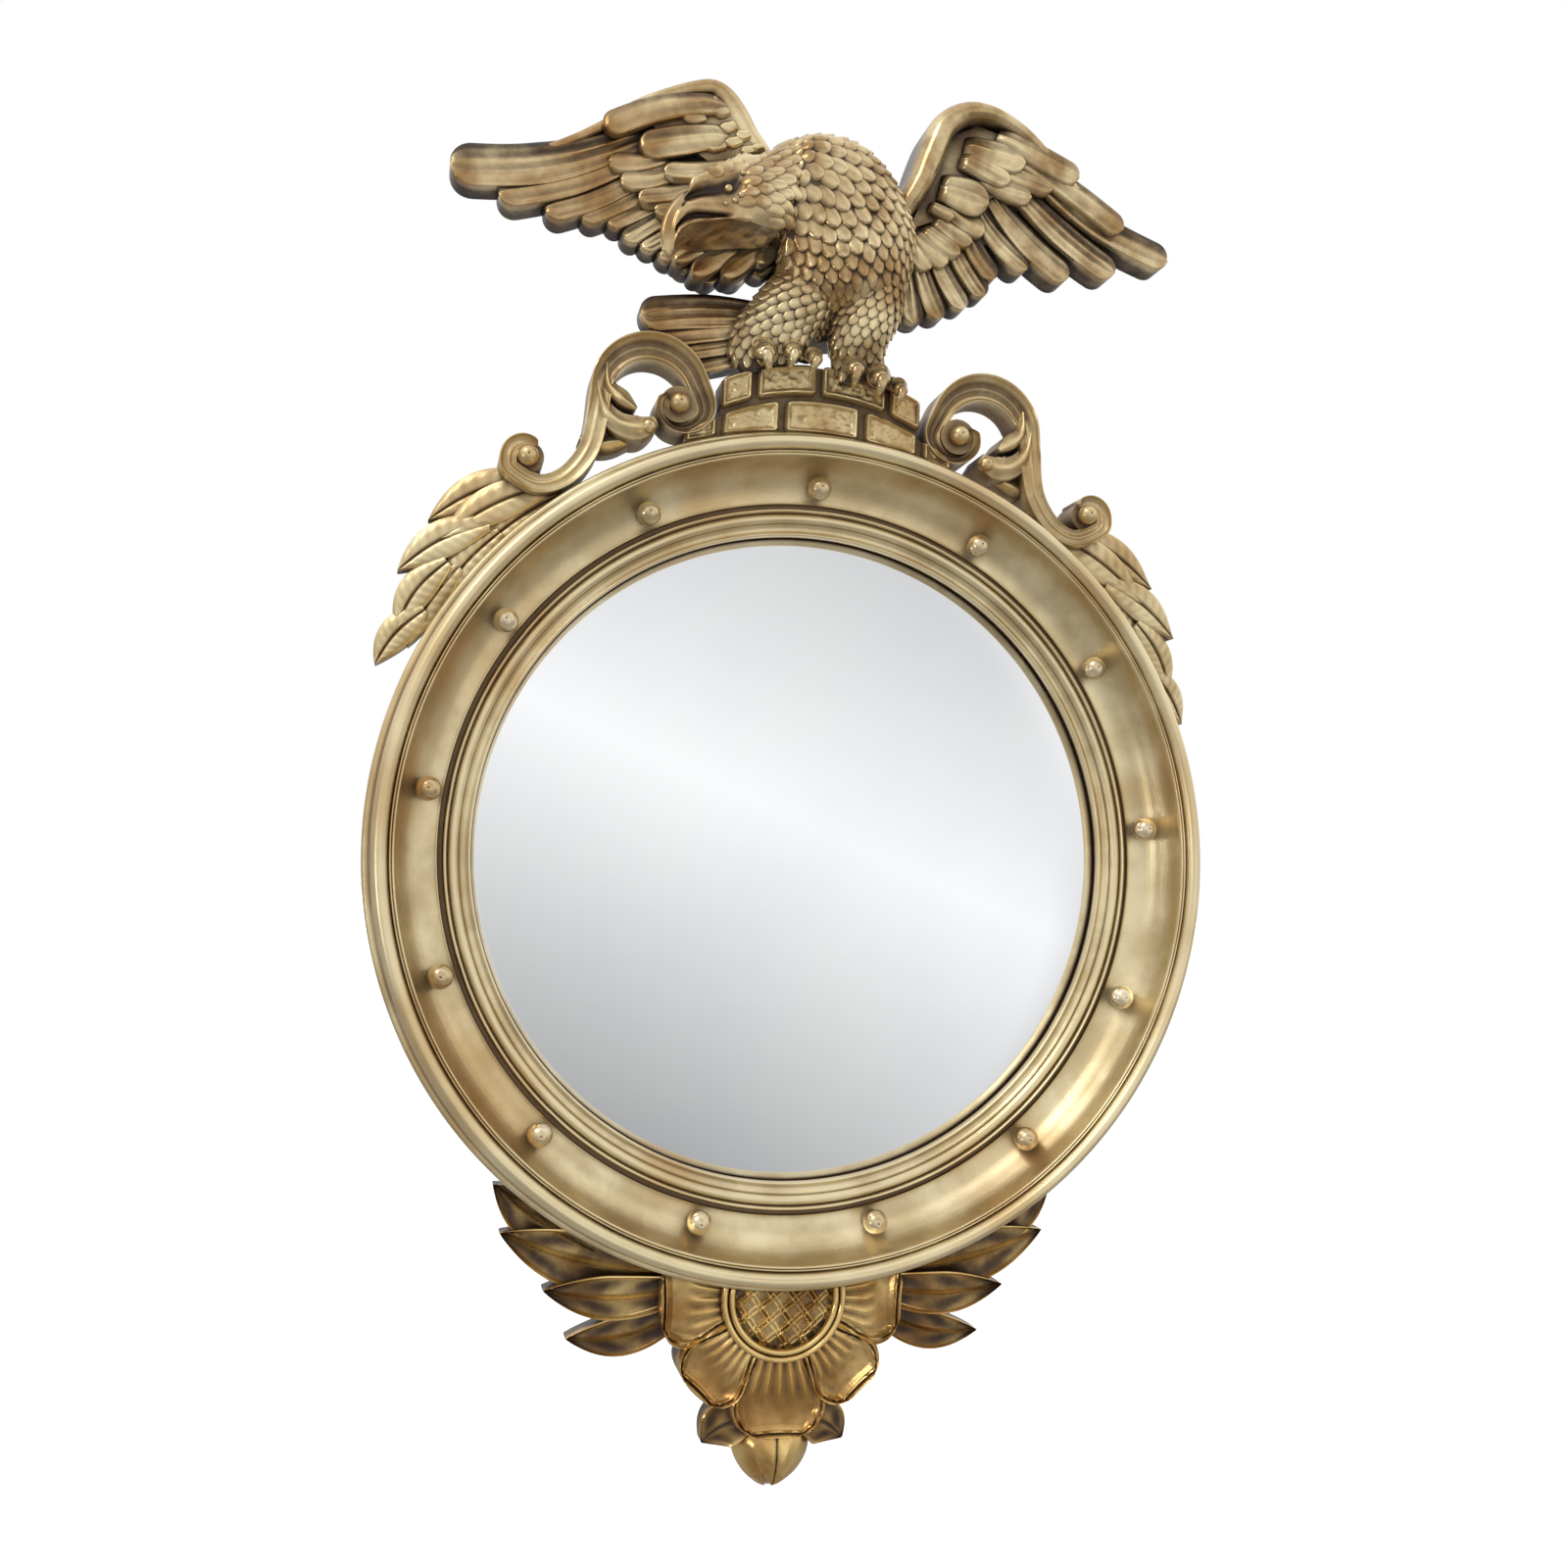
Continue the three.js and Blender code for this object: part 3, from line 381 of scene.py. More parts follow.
for node in ("crest_strap", "pendant_strap"):
    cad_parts[node].material_slots[0].material = plated
for i, (x, z) in enumerate([(-5.5, 215.0), (5.5, 215.0), (-5.5, 245.0), (5.5, 245.0)], 1):
    screw(f"crest_screw_{i}", f"crest_strap_screw_{i}", (x, z))
    screw(f"pendant_screw_{i}", f"pendant_strap_screw_{i}", (-x, -z))

# 7. Rock plinth
# The plinth is carved as two arched courses of dressed stones, with a rolled rim round each rough panel and
# a deep joint between them. It is gessoed and painted as the ring is, and the paint is worn off its rims.

ring_top = 230.0
ring_side = 230.4
arch_radius = 125.0
relief_back = 3.4
back_step = 0.03


def hashed(count, seed):
    """A repeatable number from 0 to 1 for a pair of counters."""
    return (math.sin(count * 12.9898 + seed * 78.233) * 43758.5453) % 1.0


def unit(vectors, least=0.0):
    """The same ways, 1 long. The least keeps a way of no length from being divided by 0."""
    return vectors / (np.linalg.norm(vectors, axis=-1)[..., None] + least)


def bump_at(value, centre, width):
    """1 at the centre, falling off smoothly on both sides."""
    return np.exp(-((value - centre) / width) ** 2)


def rough(x, z, pitch, seed=0.0):
    """A lumpy hand-cut surface, from -1 to 1, over arrays of places in millimetres."""
    x, z = np.broadcast_arrays(x / pitch, z / pitch)
    lumps = [noise.noise((a, b, seed)) + 0.5 * noise.noise((a * 2.1, b * 2.1, seed + 9.0))
             for a, b in zip(x.ravel(), z.ravel())]
    return np.reshape(lumps, x.shape) * 1.3


def strip(carving, centre, half, off, relief, back, across=None):
    """A relief seen from the front, along a line of (x, z) places. off and relief have a row for each place
    and a column for each step across. Its sides run straight back to the distance back off the wall, a hair
    more for each later one, so that no two backs lie in one plane. The sides fade to a dark tone, which is
    painted shade."""
    centre = np.asarray(centre, float)
    if across is None:
        run = unit(np.gradient(centre, axis=0), 1e-9)
        across = np.stack([-run[:, 1], run[:, 0]], -1)
    steps = np.linspace(-1, 1, off.shape[1])
    flat = centre[:, None] + across[:, None] * (np.asarray(half)[:, None] * steps)[..., None]
    face = np.stack([flat[..., 0], -off, flat[..., 1]], -1)
    back = back + back_step * len(carving.points)
    rows, high = [face], [relief]
    for column, share in ((-1, 0.4), (-1, 1.0), (0, 1.0), (0, 0.4)):
        wall = face[:, column].copy()
        wall[:, 1] = -(off[:, column] * (1 - share) + back * share)
        rows.append(wall[:, None])
        # Painted shade: the sides darken towards the back.
        high.append(np.full((len(centre), 1), 0.14 - 0.14 * share))
    carving.skin(np.concatenate(rows, 1), np.concatenate(high, 1))


def plinth_arch(height, x):
    """The curve of a course, so high above the ring's top at its middle."""
    return ring_top + height - arch_radius + np.sqrt(arch_radius ** 2 - x ** 2)


def ring_edge(x):
    return np.sqrt(ring_side ** 2 - np.minimum(np.abs(x), 229) ** 2)


def upright(carving, x, low, up, half, off, relief, back):
    """A relief along x between two lines, with its steps across running straight up."""
    strip(carving, np.stack([x, (up + low) / 2], -1), half, off, relief, back,
          across=np.tile([0.0, 1.0], (len(x), 1)))


def stone(carving, left, right, bottom, top, seed):
    """One dressed stone: rounded corners, a rolled rim and a rough panel."""
    u = np.linspace(0, 1, 44)
    x = left + (right - left) * (0.5 - 0.5 * np.cos(math.pi * u)) * 0.35 + (right - left) * u * 0.65
    low, up = bottom(x), top(x)
    half = (up - low) / 2
    end = np.minimum(x - left, right - x)
    corner = 3.2
    half = half - (corner - np.sqrt(np.maximum(corner ** 2 - np.maximum(corner - end, 0) ** 2, 0))) * 0.9
    steps = np.linspace(-1, 1, 27)
    to_side = half[:, None] * (1 - np.abs(steps))[None, :]
    inset = np.minimum(to_side, end[:, None] + 0.15)
    rim_curve = 1.9 * bump_at(inset, 1.7, 1.05)
    sunk = 1 / (1 + np.exp(-(inset - 3.6) * 2.6))
    z = ((up + low) / 2)[:, None] + half[:, None] * steps
    chisel = rough(x[:, None], z, 3.6, seed) * 0.75 + rough(x[:, None], z, 1.9, seed * 2) * 0.4
    stone_front, stone_back = 25.9, 12.0
    off = stone_front + rim_curve + 0.3 * rough(x[:, None], z, 7.0, seed) * (1 - sunk)
    off = off + sunk * (chisel * 0.9 - 0.2) - 1.2 * np.exp(-inset / 0.5)
    high = np.clip(0.38 + rim_curve * 0.42 + sunk * (0.24 + chisel * 0.35), 0, 1)
    upright(carving, x, low, up, half, off, high, stone_back)


def bed(carving, reach, bottom, top, front):
    """The ground that the stones stand out from."""
    x = np.linspace(-reach, reach, 60)
    low, up = bottom(x), top(x)
    half = (up - low) / 2
    z = ((up + low) / 2)[:, None] + half[:, None] * np.linspace(-1, 1, 15)
    off = front + 0.35 * rough(x[:, None], z, 2.6, 1.0)
    upright(carving, x, low, up, half, off, 0.1 + 0 * off, relief_back)


plinth = Carving()
bed(plinth, 75.0, ring_edge, lambda x: plinth_arch(19.0, x), 23.4)
bed(plinth, 56.0, lambda x: plinth_arch(14.0, x), lambda x: plinth_arch(39.0, x), 23.0)
for i, (left, right) in enumerate([(-75.5, -58.5), (-55, -24), (-20.5, 21), (25, 55), (59, 75.5)]):
    stone(plinth, left, right, lambda x: ring_edge(x) + 0.2, lambda x: plinth_arch(19.8, x), 1.3 * i)
for i, (left, right) in enumerate([(-56.5, -39.5), (-36.5, -3.5), (-0.5, 36), (39, 56.5)]):
    stone(plinth, left, right, lambda x: plinth_arch(22.6, x), lambda x: plinth_arch(39.8, x),
          5.1 + 1.7 * i)
plinth.made("stone_plinth", champagne, ["rock_plinth"], "champagne_gilt", crease=46)

# 8. Eagle's body
# Body, neck and legs are one carved block with a flat back. It is covered all over in overlapping scale
# feathers, each cut round with a gouge, and painted in a browner, glossier bronze-gold than the ring.

eagle_gilt = gilt("eagle_gilt_carved", (160, 128, 84), (228, 208, 164), (42, 27, 14), 0.62, patina_and_shade=0.85,
                  dark=0.72)


def curved(a, b, c, d, t):
    """From b to c by Catmull-Rom, as t goes from 0 to 1."""
    return 0.5 * (2 * b + (c - a) * t + (2 * a - 5 * b + 4 * c - d) * t ** 2
                  + (3 * b - a - 3 * c + d) * t ** 3)


def smoothed(values, at):
    """A curve through rows of values, at places counted from 0 to the last row."""
    values = np.asarray(values, float)
    at = np.clip(np.asarray(at, float), 0, len(values) - 1)
    k = np.minimum(at.astype(int), len(values) - 2)
    return curved(values[np.maximum(k - 1, 0)], values[k], values[k + 1],
                  values[np.minimum(k + 2, len(values) - 1)], (at - k)[..., None])


def slopes(at, along, round_, step):
    """Places on a skin, how fast they move along and round it, and the way square to it."""
    small = 0.02
    flow = (at(along + small, round_) - at(along - small, round_)) / (2 * small)
    side = (at(along, round_ + step) - at(along, round_ - step)) / (2 * step)
    return at(along, round_), flow, side, unit(np.cross(flow, side), 1e-9)


class Flank:
    """A rounded body through sections. A place on it is how far along, and the degrees round its front:
    0 at one side of the outline, 90 at the crown and 180 at the other side."""

    def __init__(self, middles, sideways, outward):
        self.table = np.concatenate([middles, sideways, outward], 1)
        self.last = len(middles) - 1.0

    def at(self, along, round_):
        """Places on the skin."""
        row = smoothed(self.table, along)
        turn = np.radians(round_)[..., None]
        return row[..., :3] + np.cos(turn) * row[..., 3:6] + np.sin(turn) * row[..., 6:9]

    def frame(self, along, round_):
        """The slopes, with the way square to the skin pointing out of the body."""
        here, flow, side, out = slopes(self.at, along, round_, 1.0)
        out *= np.sign(np.sum(out * (here - smoothed(self.table, along)[..., :3]), -1))[..., None]
        return here, flow, side, out

    def block(self, carving, back, steps, round_steps, high=0.1):
        """The body itself, cut flat at a distance off the wall, or round on all sides if back is None."""
        along = np.linspace(0, self.last, steps)[:, None]
        turn = np.linspace(0, 180, round_steps)[None, :]
        face = self.at(along + 0 * turn, turn + 0 * along)
        # Painted shade: the body's own skin is dark unless given, and shows in the gaps between scales.
        rows, tone = [face], [high] * round_steps
        if back is not None:
            # Painted shade: the flat back's sides are dark.
            for column in (-1, 0):
                wall = face[:, column].copy()
                wall[:, 1] = -back
                rows.append(wall[:, None])
                tone.append(0.05)
        else:
            under = np.linspace(180, 360, round_steps)[None, 1:-1]
            rows.append(self.at(along + 0 * under, under + 0 * along))
            tone += [high] * (round_steps - 2)
        carving.skin(np.concatenate(rows, 1), np.array(tone)[None, :])


def scales(carving, flank, reach, sides, size, seed, long, swing=lambda along, turn: 0.0,
           keep=lambda along, turn, here: np.ones(len(along), bool), worn_and_shaded=lambda along: 1.0):
    """Overlapping scale feathers, packed over a flank so that each keeps its own size clear of the ones
    before it. Their tips stand out over the roots of the next ones, and may swing by some degrees."""
    lift = 0.2
    t = np.array([0.0, 0.2, 0.4, 0.54, 0.66, 0.77, 0.86, 0.93, 0.98, 1.0])[:, None]
    s = np.array([-1.0, -0.86, -0.6, -0.3, 0.0, 0.3, 0.6, 0.86, 1.0])[None, :]
    spread = np.where(t < 0.5, 0.72 + 0.3 * np.sin(t / 0.5 * math.pi / 2),
                      1.02 * np.sqrt(np.clip(1 - (2 * t - 1) ** 2.3, 0.004, 1)))
    along, turn = np.repeat(np.linspace(*reach, 240), 150), np.tile(np.linspace(*sides, 150), 240)
    here, flow, side, out = flank.frame(along, turn)
    free = keep(along, turn, here)
    count = 0
    while free.any():
        i = int(np.argmax(free))
        count += 1
        jitter = hashed(count, seed) - 0.5
        wide = size(along[i], turn[i]) * (1 + 0.1 * jitter)
        ahead = flow[i] / (np.linalg.norm(flow[i]) + 1e-6)
        aside = np.cross(out[i], ahead)
        aside *= np.sign(aside @ side[i])
        steps = np.linalg.pinv(np.stack([flow[i], side[i] * 40], 1), rcond=0.1) * [[1], [40]]
        swung = math.radians(swing(along[i], turn[i]) + 9 * jitter)
        course = ahead * math.cos(swung) + aside * math.sin(swung)
        across = aside * math.cos(swung) - ahead * math.sin(swung)
        apart = here - here[i]
        free &= ((apart @ course / long) ** 2 + (apart @ across) ** 2 + (apart @ out[i]) ** 2) > wide ** 2
        a = (t - 0.35) * wide * 1.5 * long + 0 * s
        b = s * spread * wide * 0.54
        at_along, at_turn = np.moveaxis((a[..., None] * course + b[..., None] * across) @ steps.T, -1, 0)
        at_along, at_turn = at_along + along[i], at_turn + turn[i]
        face, _, _, rise_way = flank.frame(at_along, at_turn)
        dome = (1 - s ** 2) * (0.35 + 0.65 * t)
        crease = bump_at(s, 0, 0.2) * np.clip(0.9 - t, 0, 1)
        rise = lift * wide * (1.35 * t ** 0.9 - 0.35 + 0.62 * dome + 0.12 * crease - 0.32 * np.abs(s) ** 6)
        rise = rise - lift * wide * 0.4 * (t > 0.97)
        top = face + rise_way * rise[..., None]
        under = face - rise_way * lift * wide * 0.6
        # Painted shade: each scale is dark at its root under the tip before it, on its edges, at its tip's
        # drop and on its underside.
        high = 0.12 + 0.8 * np.clip(t / 0.8, 0, 1) ** 0.7 * (1 - 0.45 * s ** 4)
        # Painted shade: a flank can be dimmed as a whole.
        high = (high + 0.16 * jitter - 0.1 * (t > 0.97)) * worn_and_shaded(along[i])
        loop = np.concatenate([top, under[:, -1:], under[:, :1]], 1)
        carving.skin(loop, np.concatenate([np.clip(high, 0, 1), np.zeros((len(t), 2))], 1))


def fan(sections):
    """Sections of the body's fan, each (inner x, inner up, outer x, outer up, off the wall, half depth)."""
    inner_x, inner_up, outer_x, outer_up, off, depth = np.array(sections, float).T
    inner = np.stack([inner_x, -off, inner_up + ring_top], -1)
    outer = np.stack([outer_x, -off, outer_up + ring_top], -1)
    zero = 0 * off
    return Flank((inner + outer) / 2, (outer - inner) / 2, np.stack([zero, -depth, zero], -1))


def limb(stations):
    """A limb through (x, off the wall, up, half width, half depth), round on all sides."""
    x, off, up, wide, deep = np.array(stations, float).T
    middles = np.stack([x, -off, up + ring_top], -1)
    run = unit(np.gradient(middles, axis=0))
    across = unit(np.cross([0, 1.0, 0], run))
    out = np.cross(across, run)
    out *= np.sign(-out[:, 1] + 1e-6)[:, None]
    return Flank(middles, across * wide[:, None], out * deep[:, None])


body = fan([
    (-42, 103, -38, 149, 43, 18), (-32, 99, -18, 157, 45, 21), (-31, 92, -3, 160.5, 40, 23),
    (-31, 86, 13, 159.5, 36, 24), (-31, 80, 28, 149, 34, 25), (-30, 74, 39, 134, 33, 26),
    (-28, 70, 45.5, 117, 33, 26), (-25, 68, 45.5, 100, 32, 25), (-20, 67, 43, 84, 30, 23),
    (-12, 63, 39, 68, 23, 13), (-3, 54, 31, 57, 20, 8)])
left_leg = limb([
    (-1, 34, 96, 12, 17), (-9, 34, 83, 15.5, 17.5), (-18, 33, 71, 18.5, 16), (-26, 31, 60.5, 18.5, 13),
    (-31.5, 28, 50, 20.5, 9.5), (-33, 25, 42, 20, 7.5), (-31, 24, 35.5, 16, 6)])
right_leg = limb([
    (24, 33, 96, 16, 16), (23, 33, 82, 18.5, 18), (21, 32, 70, 18.5, 16.5), (18, 31, 59, 17, 13.5),
    (17.5, 29, 50, 15.5, 11), (19.5, 26.5, 42, 14, 8.5), (22, 25, 34, 13, 7)])


def body_scale(along, turn):
    """Broad scales over the neck and hump, smaller ones on the breast, the belly and both edges."""
    broad = np.interp(along, [0, 1.5, 3.5, 5.5, 7.5, 10], [7.0, 8.6, 9.0, 8.0, 6.6, 5.6])
    return broad * np.interp(turn, [0, 40, 90, 135, 180], [0.7, 0.92, 1.0, 0.78, 0.66])


torso = Carving()
body.block(torso, relief_back, 90, 60)
left_leg.block(torso, None, 30, 30)
right_leg.block(torso, None, 30, 30)
# The lower belly and the legs are dimmed: painted shade.
scales(torso, body, (0.05, 9.7), (3, 177), body_scale, seed=1.0, long=1.08,
       worn_and_shaded=lambda along: np.interp(along, [0, 4.5, 8, 10], [1, 1, 0.84, 0.72]))
scales(torso, left_leg, (0.4, 5.5), (-25, 200), lambda along, turn: 5.4, seed=2.0, long=1.15,
       swing=lambda along, turn: -32, worn_and_shaded=lambda along: 0.72)
scales(torso, right_leg, (0.4, 5.5), (-25, 200), lambda along, turn: 5.2, seed=3.0, long=1.15,
       swing=lambda along, turn: np.interp(turn, [60, 150], [-34, 0]), worn_and_shaded=lambda along: 0.76)
torso.made("eagle_body", eagle_gilt, ["eagle_torso"], "eagle_gilt", crease=50)

# 9. Eagle's head
# The head is carved in high relief: crown, brow and cheek stand forward, the hooked beak turns down, and
# its underside is cut flat back to the wing. Its feathers lie back from the brow, and the beak is smooth.

# Sections from the neck to the beak's tip, each from the wing over the crown and the cheek to the mouth's
# edge, and back under the jaw. Places are (x, off the wall, above the ring's centre).
head_sections = [
    [(-24, 30, 386), (-25, 46, 383), (-27, 60, 374), (-30, 68, 360), (-33, 71, 345), (-35, 69, 333),
     (-37, 64, 325.5), (-37, 36, 328)],
    [(-34, 30, 377), (-35, 47, 377), (-37, 60, 370), (-39, 69, 358), (-42, 73, 345), (-44, 72, 333),
     (-45, 67, 325), (-45, 36, 326)],
    [(-45, 30, 369), (-46, 47, 371), (-48, 60, 365), (-50, 69.5, 356), (-52, 74, 344), (-54, 74, 333),
     (-55, 71, 325), (-55, 36, 324.5)],
    [(-55, 32, 362), (-57, 49, 365.5), (-59, 61, 359.5), (-61, 70, 351.5), (-63, 73, 342),
     (-65, 75, 331), (-65.5, 74, 323.5), (-65, 36, 322.5)],
    [(-66, 34, 355), (-68, 50, 359), (-70, 63, 352.5), (-72, 71.5, 346), (-73.5, 74, 338),
     (-75, 76, 328.5), (-76, 75, 320.5), (-75, 36, 320.5)],
    [(-75, 40, 346), (-78, 54, 349), (-80, 65, 345), (-82, 73, 341), (-83, 75, 334), (-84, 77, 325.5),
     (-84.5, 76, 317.5), (-83, 38, 319)],
    [(-82, 46, 338), (-86, 58, 340), (-88, 68, 338), (-89.5, 75, 334), (-90, 77, 328), (-90, 77.5, 320),
     (-90, 76.5, 313.5), (-88, 42, 317)],
    [(-87, 50, 331), (-92.5, 61, 331), (-95, 70, 329.5), (-96, 76, 325.5), (-95.5, 77.5, 320),
     (-94, 78, 314.5), (-92.5, 77, 309.5), (-90, 50, 312)],
    [(-90, 56, 322), (-97, 66, 322), (-99.3, 72, 319.5), (-99.8, 76.5, 316.5), (-98.5, 78, 312),
     (-96, 78, 308.5), (-93.5, 77, 305.5), (-91, 60, 308)],
    [(-92, 62, 313), (-98.5, 68, 312.5), (-100.6, 73, 310.5), (-100.8, 76.5, 308.5),
     (-99.5, 77.8, 305.8), (-97, 77.6, 303.8), (-94, 76.5, 302.5), (-92, 66, 304)],
    [(-94, 66, 305), (-97.5, 70, 303.5), (-99.3, 73, 302.3), (-99.3, 75.8, 301.2), (-98, 76.8, 300.4),
     (-96, 76.4, 299.8), (-94.3, 75.2, 300.2), (-93.4, 70, 301.5)],
    [(-95.2, 71, 299.6), (-96.2, 72.2, 298.6), (-96.8, 73.4, 298.2), (-96.6, 74.4, 297.8),
     (-96, 74.8, 297.6), (-95.4, 74.6, 297.8), (-95, 73.8, 298.3), (-94.9, 72.4, 299)],
]
head_table = np.array(head_sections, float)


def head_at(along, round_):
    """A place on the head: how far along its sections, and how far round each, from 0 to 7."""
    along, round_ = np.broadcast_arrays(np.asarray(along, float), np.asarray(round_, float))
    rows = smoothed(head_table.reshape(len(head_table), -1), along).reshape(along.shape + (8, 3))
    behind = np.minimum(along, 0)[..., None, None]
    rows = rows + behind * (head_table[1] - head_table[0]) + behind * [0, 8, 0]
    k = np.clip(round_.astype(int), 0, 6)
    t = (round_ - k)[..., None]

    def pick(i):
        return np.take_along_axis(rows, np.clip(i, 0, 7)[..., None, None], -2)[..., 0, :]

    a, b, c, d = pick(k - 1), pick(k), pick(k + 1), pick(k + 2)
    d = np.where((k >= 5)[..., None], 2 * c - b, d)
    place = np.where((k >= 6)[..., None], b + (c - b) * t, curved(a, b, c, d, t))
    return place * [1, -1, 1]


def head_slopes(along, round_):
    return slopes(head_at, along, round_, 0.02)


def between(value, low, high, soft=0.5):
    """1 from low to high, falling off to 0 just inside both ends."""
    return np.clip((value - low) / soft, 0, 1) * np.clip((high - value) / soft, 0, 1)


def head_relief(along, round_):
    """How far the carving stands out of the head's sections, and its tone: painted highlight on the brow,
    lip and beak edge, painted shade in the mouth, eye hollow, nostril, notch, under the jaw and on the
    outer beak.
    """
    above = round_ - np.interp(along, [2.6, 3.1, 3.8, 4.6, 5.5], [1.9, 2.15, 2.45, 2.85, 3.0])
    brow = bump_at(above, 0, np.where(above < 0, 0.85, 0.42)) * between(along, 2.2, 5.8)
    eye_hollow = (bump_at(round_, 3.9, np.interp(along, [3.0, 4.5, 5.5], [0.7, 0.42, 0.3]))
                  * between(along, 2.6, 6.0, 0.4))
    notch = bump_at(along, 5.95, 0.26) * bump_at(round_, 2.9, 0.9)
    edge_line = np.interp(along, [4.2, 5.05, 5.85, 6.65, 7.6], [4.9, 4.75, 4.55, 4.7, 5.3])
    edge = bump_at(round_, edge_line, 0.28) * between(along, 4.4, 8.0, 0.8)
    mouth_line = np.interp(along, [2.6, 3.4, 4.55, 5.65, 6.5, 7.0], [5.9, 5.75, 5.55, 5.36, 5.4, 5.5])
    mouth = bump_at(round_, mouth_line, np.interp(along, [2.8, 4, 5.5, 6.5], [0.12, 0.2, 0.24, 0.15]))
    mouth = mouth * between(along, 2.6, 7.2, 0.6)
    lip = bump_at(round_, 5.9, 0.14) * between(along, 1.6, 8.6, 1.2)
    nostril = bump_at(round_, 4.25, 0.16) * bump_at(along, 6.0, 0.2)
    swell = 3.4 * brow - 3.0 * eye_hollow - 3.0 * mouth + 0.9 * lip + 0.8 * edge
    swell = (swell - 1.0 * nostril - 1.6 * notch) * np.clip((6.0 - round_) / 0.12, 0, 1)
    # Painted highlight on the brow, lip and beak edge; painted shade in the mouth, eye hollow, nostril,
    # notch and under the jaw.
    shade = (0.55 + 0.45 * brow + 0.4 * lip + 0.4 * edge - 0.6 * mouth - 0.6 * eye_hollow - 0.5 * nostril
             - 0.4 * notch - 0.08 * np.clip((round_ - 6.0) / 0.3, 0, 1))
    # Painted shade on the outer side of the beak.
    outer_beak_shade = np.clip((along - 5.6) / 0.9, 0, 1) * np.clip((3.0 - round_) / 1.2, 0, 1)
    return swell, np.clip(shade - 0.5 * outer_beak_shade, 0, 1)


head = Carving()
along = np.linspace(0, 11, 190)[:, None]
round_ = np.concatenate([np.linspace(0, 6, 128), np.linspace(6.06, 7, 14)])[None, :]
face, _, _, out = head_slopes(along, round_)
swell, shade = head_relief(along, round_)
face = face + out * swell[..., None]
chisel = rough(face[..., 0], face[..., 1], 8.0, 3.0) * between(round_, 6.1, 6.9, 0.15)
face[..., 2] += 0.6 * chisel
head.skin(face, np.clip(shade + 0.3 * chisel, 0, 1))


def button(ahead, round_, size, relief, lift=0.0, flat=0.8, lowest=-0.6, rings=9, sides=16):
    """A button on the head's skin. One sunk into it, by a lift below 0, is as wide as it is high."""
    place, _, _, out = (part[0] for part in head_slopes(np.array([ahead]), np.array([round_])))
    turn = np.linspace(0, 2 * math.pi, sides, endpoint=False)[:, None]
    level = np.cross(out, [0, 0, 1.0])
    level = unit(level) if lift < 0 else level
    head.skin([place + out * (lift + size * flat * math.sin(rise)) + size * math.cos(rise)
               * (np.cos(turn) * level + np.sin(turn) * np.cross(out, level))
               for rise in np.linspace(lowest, 1.5, rings)], relief)


# The sunk ring round the eye is dark as painted shade, and the eye is bright as a painted highlight.
for size, lift, tone in ((3.3, -3.6, 0.15), (2.3, -1.7, 0.9)):
    button(3.3, 4.0, size, tone, lift, flat=0.7, lowest=-1.4, rings=12, sides=20)


feathers_start = 4.6
section_degrees = 25.0


class HeadFlank:
    """The head's skin in the terms that the scales are laid in, with feathers pointing back to the neck."""

    def frame(self, along, round_):
        ahead, round_ = feathers_start - along, round_ / section_degrees
        here, flow, side, out = head_slopes(ahead, round_)
        return here + out * head_relief(ahead, round_)[0][..., None], -flow, side / section_degrees, out


def feathered(along, turn, here):
    """Where the head has feathers: the crown and the cheek behind the brow, the eye and the mouth."""
    ahead = feathers_start - along
    crown = (turn < 70) & (ahead < 5.2 - 0.006 * turn) & (ahead > 0.5 - 0.02 * turn)
    return crown | ((ahead < 2.5) & (turn > 45) & (turn < 126)) | ((ahead < 1) & (turn > 60) & (turn < 142))


for ahead, round_, size in ((2.3, 4.2, 1.9), (2.62, 4.55, 1.7), (2.86, 4.82, 1.5), (3.3, 4.98, 1.3),
                            (2.75, 3.3, 1.6)):
    button(ahead, round_, size, 0.95)
scales(head, HeadFlank(), (-0.7, 4.9), (4, 142), lambda along, turn: 5.2 + 0.25 * along, seed=5.0,
       keep=feathered, long=1.4)
head.made("eagle_head_carved", eagle_gilt, ["eagle_head"], "eagle_gilt", crease=50)

# 10. Feet
# Three toes of each foot rest on the plinth's top, with two knuckles each, and their claws hook down over
# its front. They're carved from the same wood and pinned to the legs.


def tube(carving, stations, high, sides=20, steps=26):
    """A toe or a claw through (x, off the wall, above the ring's centre, half width, half depth)."""
    x, off, up, wide, deep = smoothed(stations, np.linspace(0, len(stations) - 1, steps)).T
    middles = np.stack([x, -off, up], -1)
    run = unit(np.gradient(middles, axis=0), 1e-9)
    across = unit([1.0, 0.0, 0.0] - run * run[:, :1])
    out = np.cross(run, across)
    turn = np.linspace(0, 2 * math.pi, sides, endpoint=False)
    rows = (middles[:, None] + (across * np.abs(wide)[:, None])[:, None] * np.cos(turn)[None, :, None]
            + (out * np.abs(deep)[:, None])[:, None] * np.sin(turn)[None, :, None])
    carving.skin(rows, high)


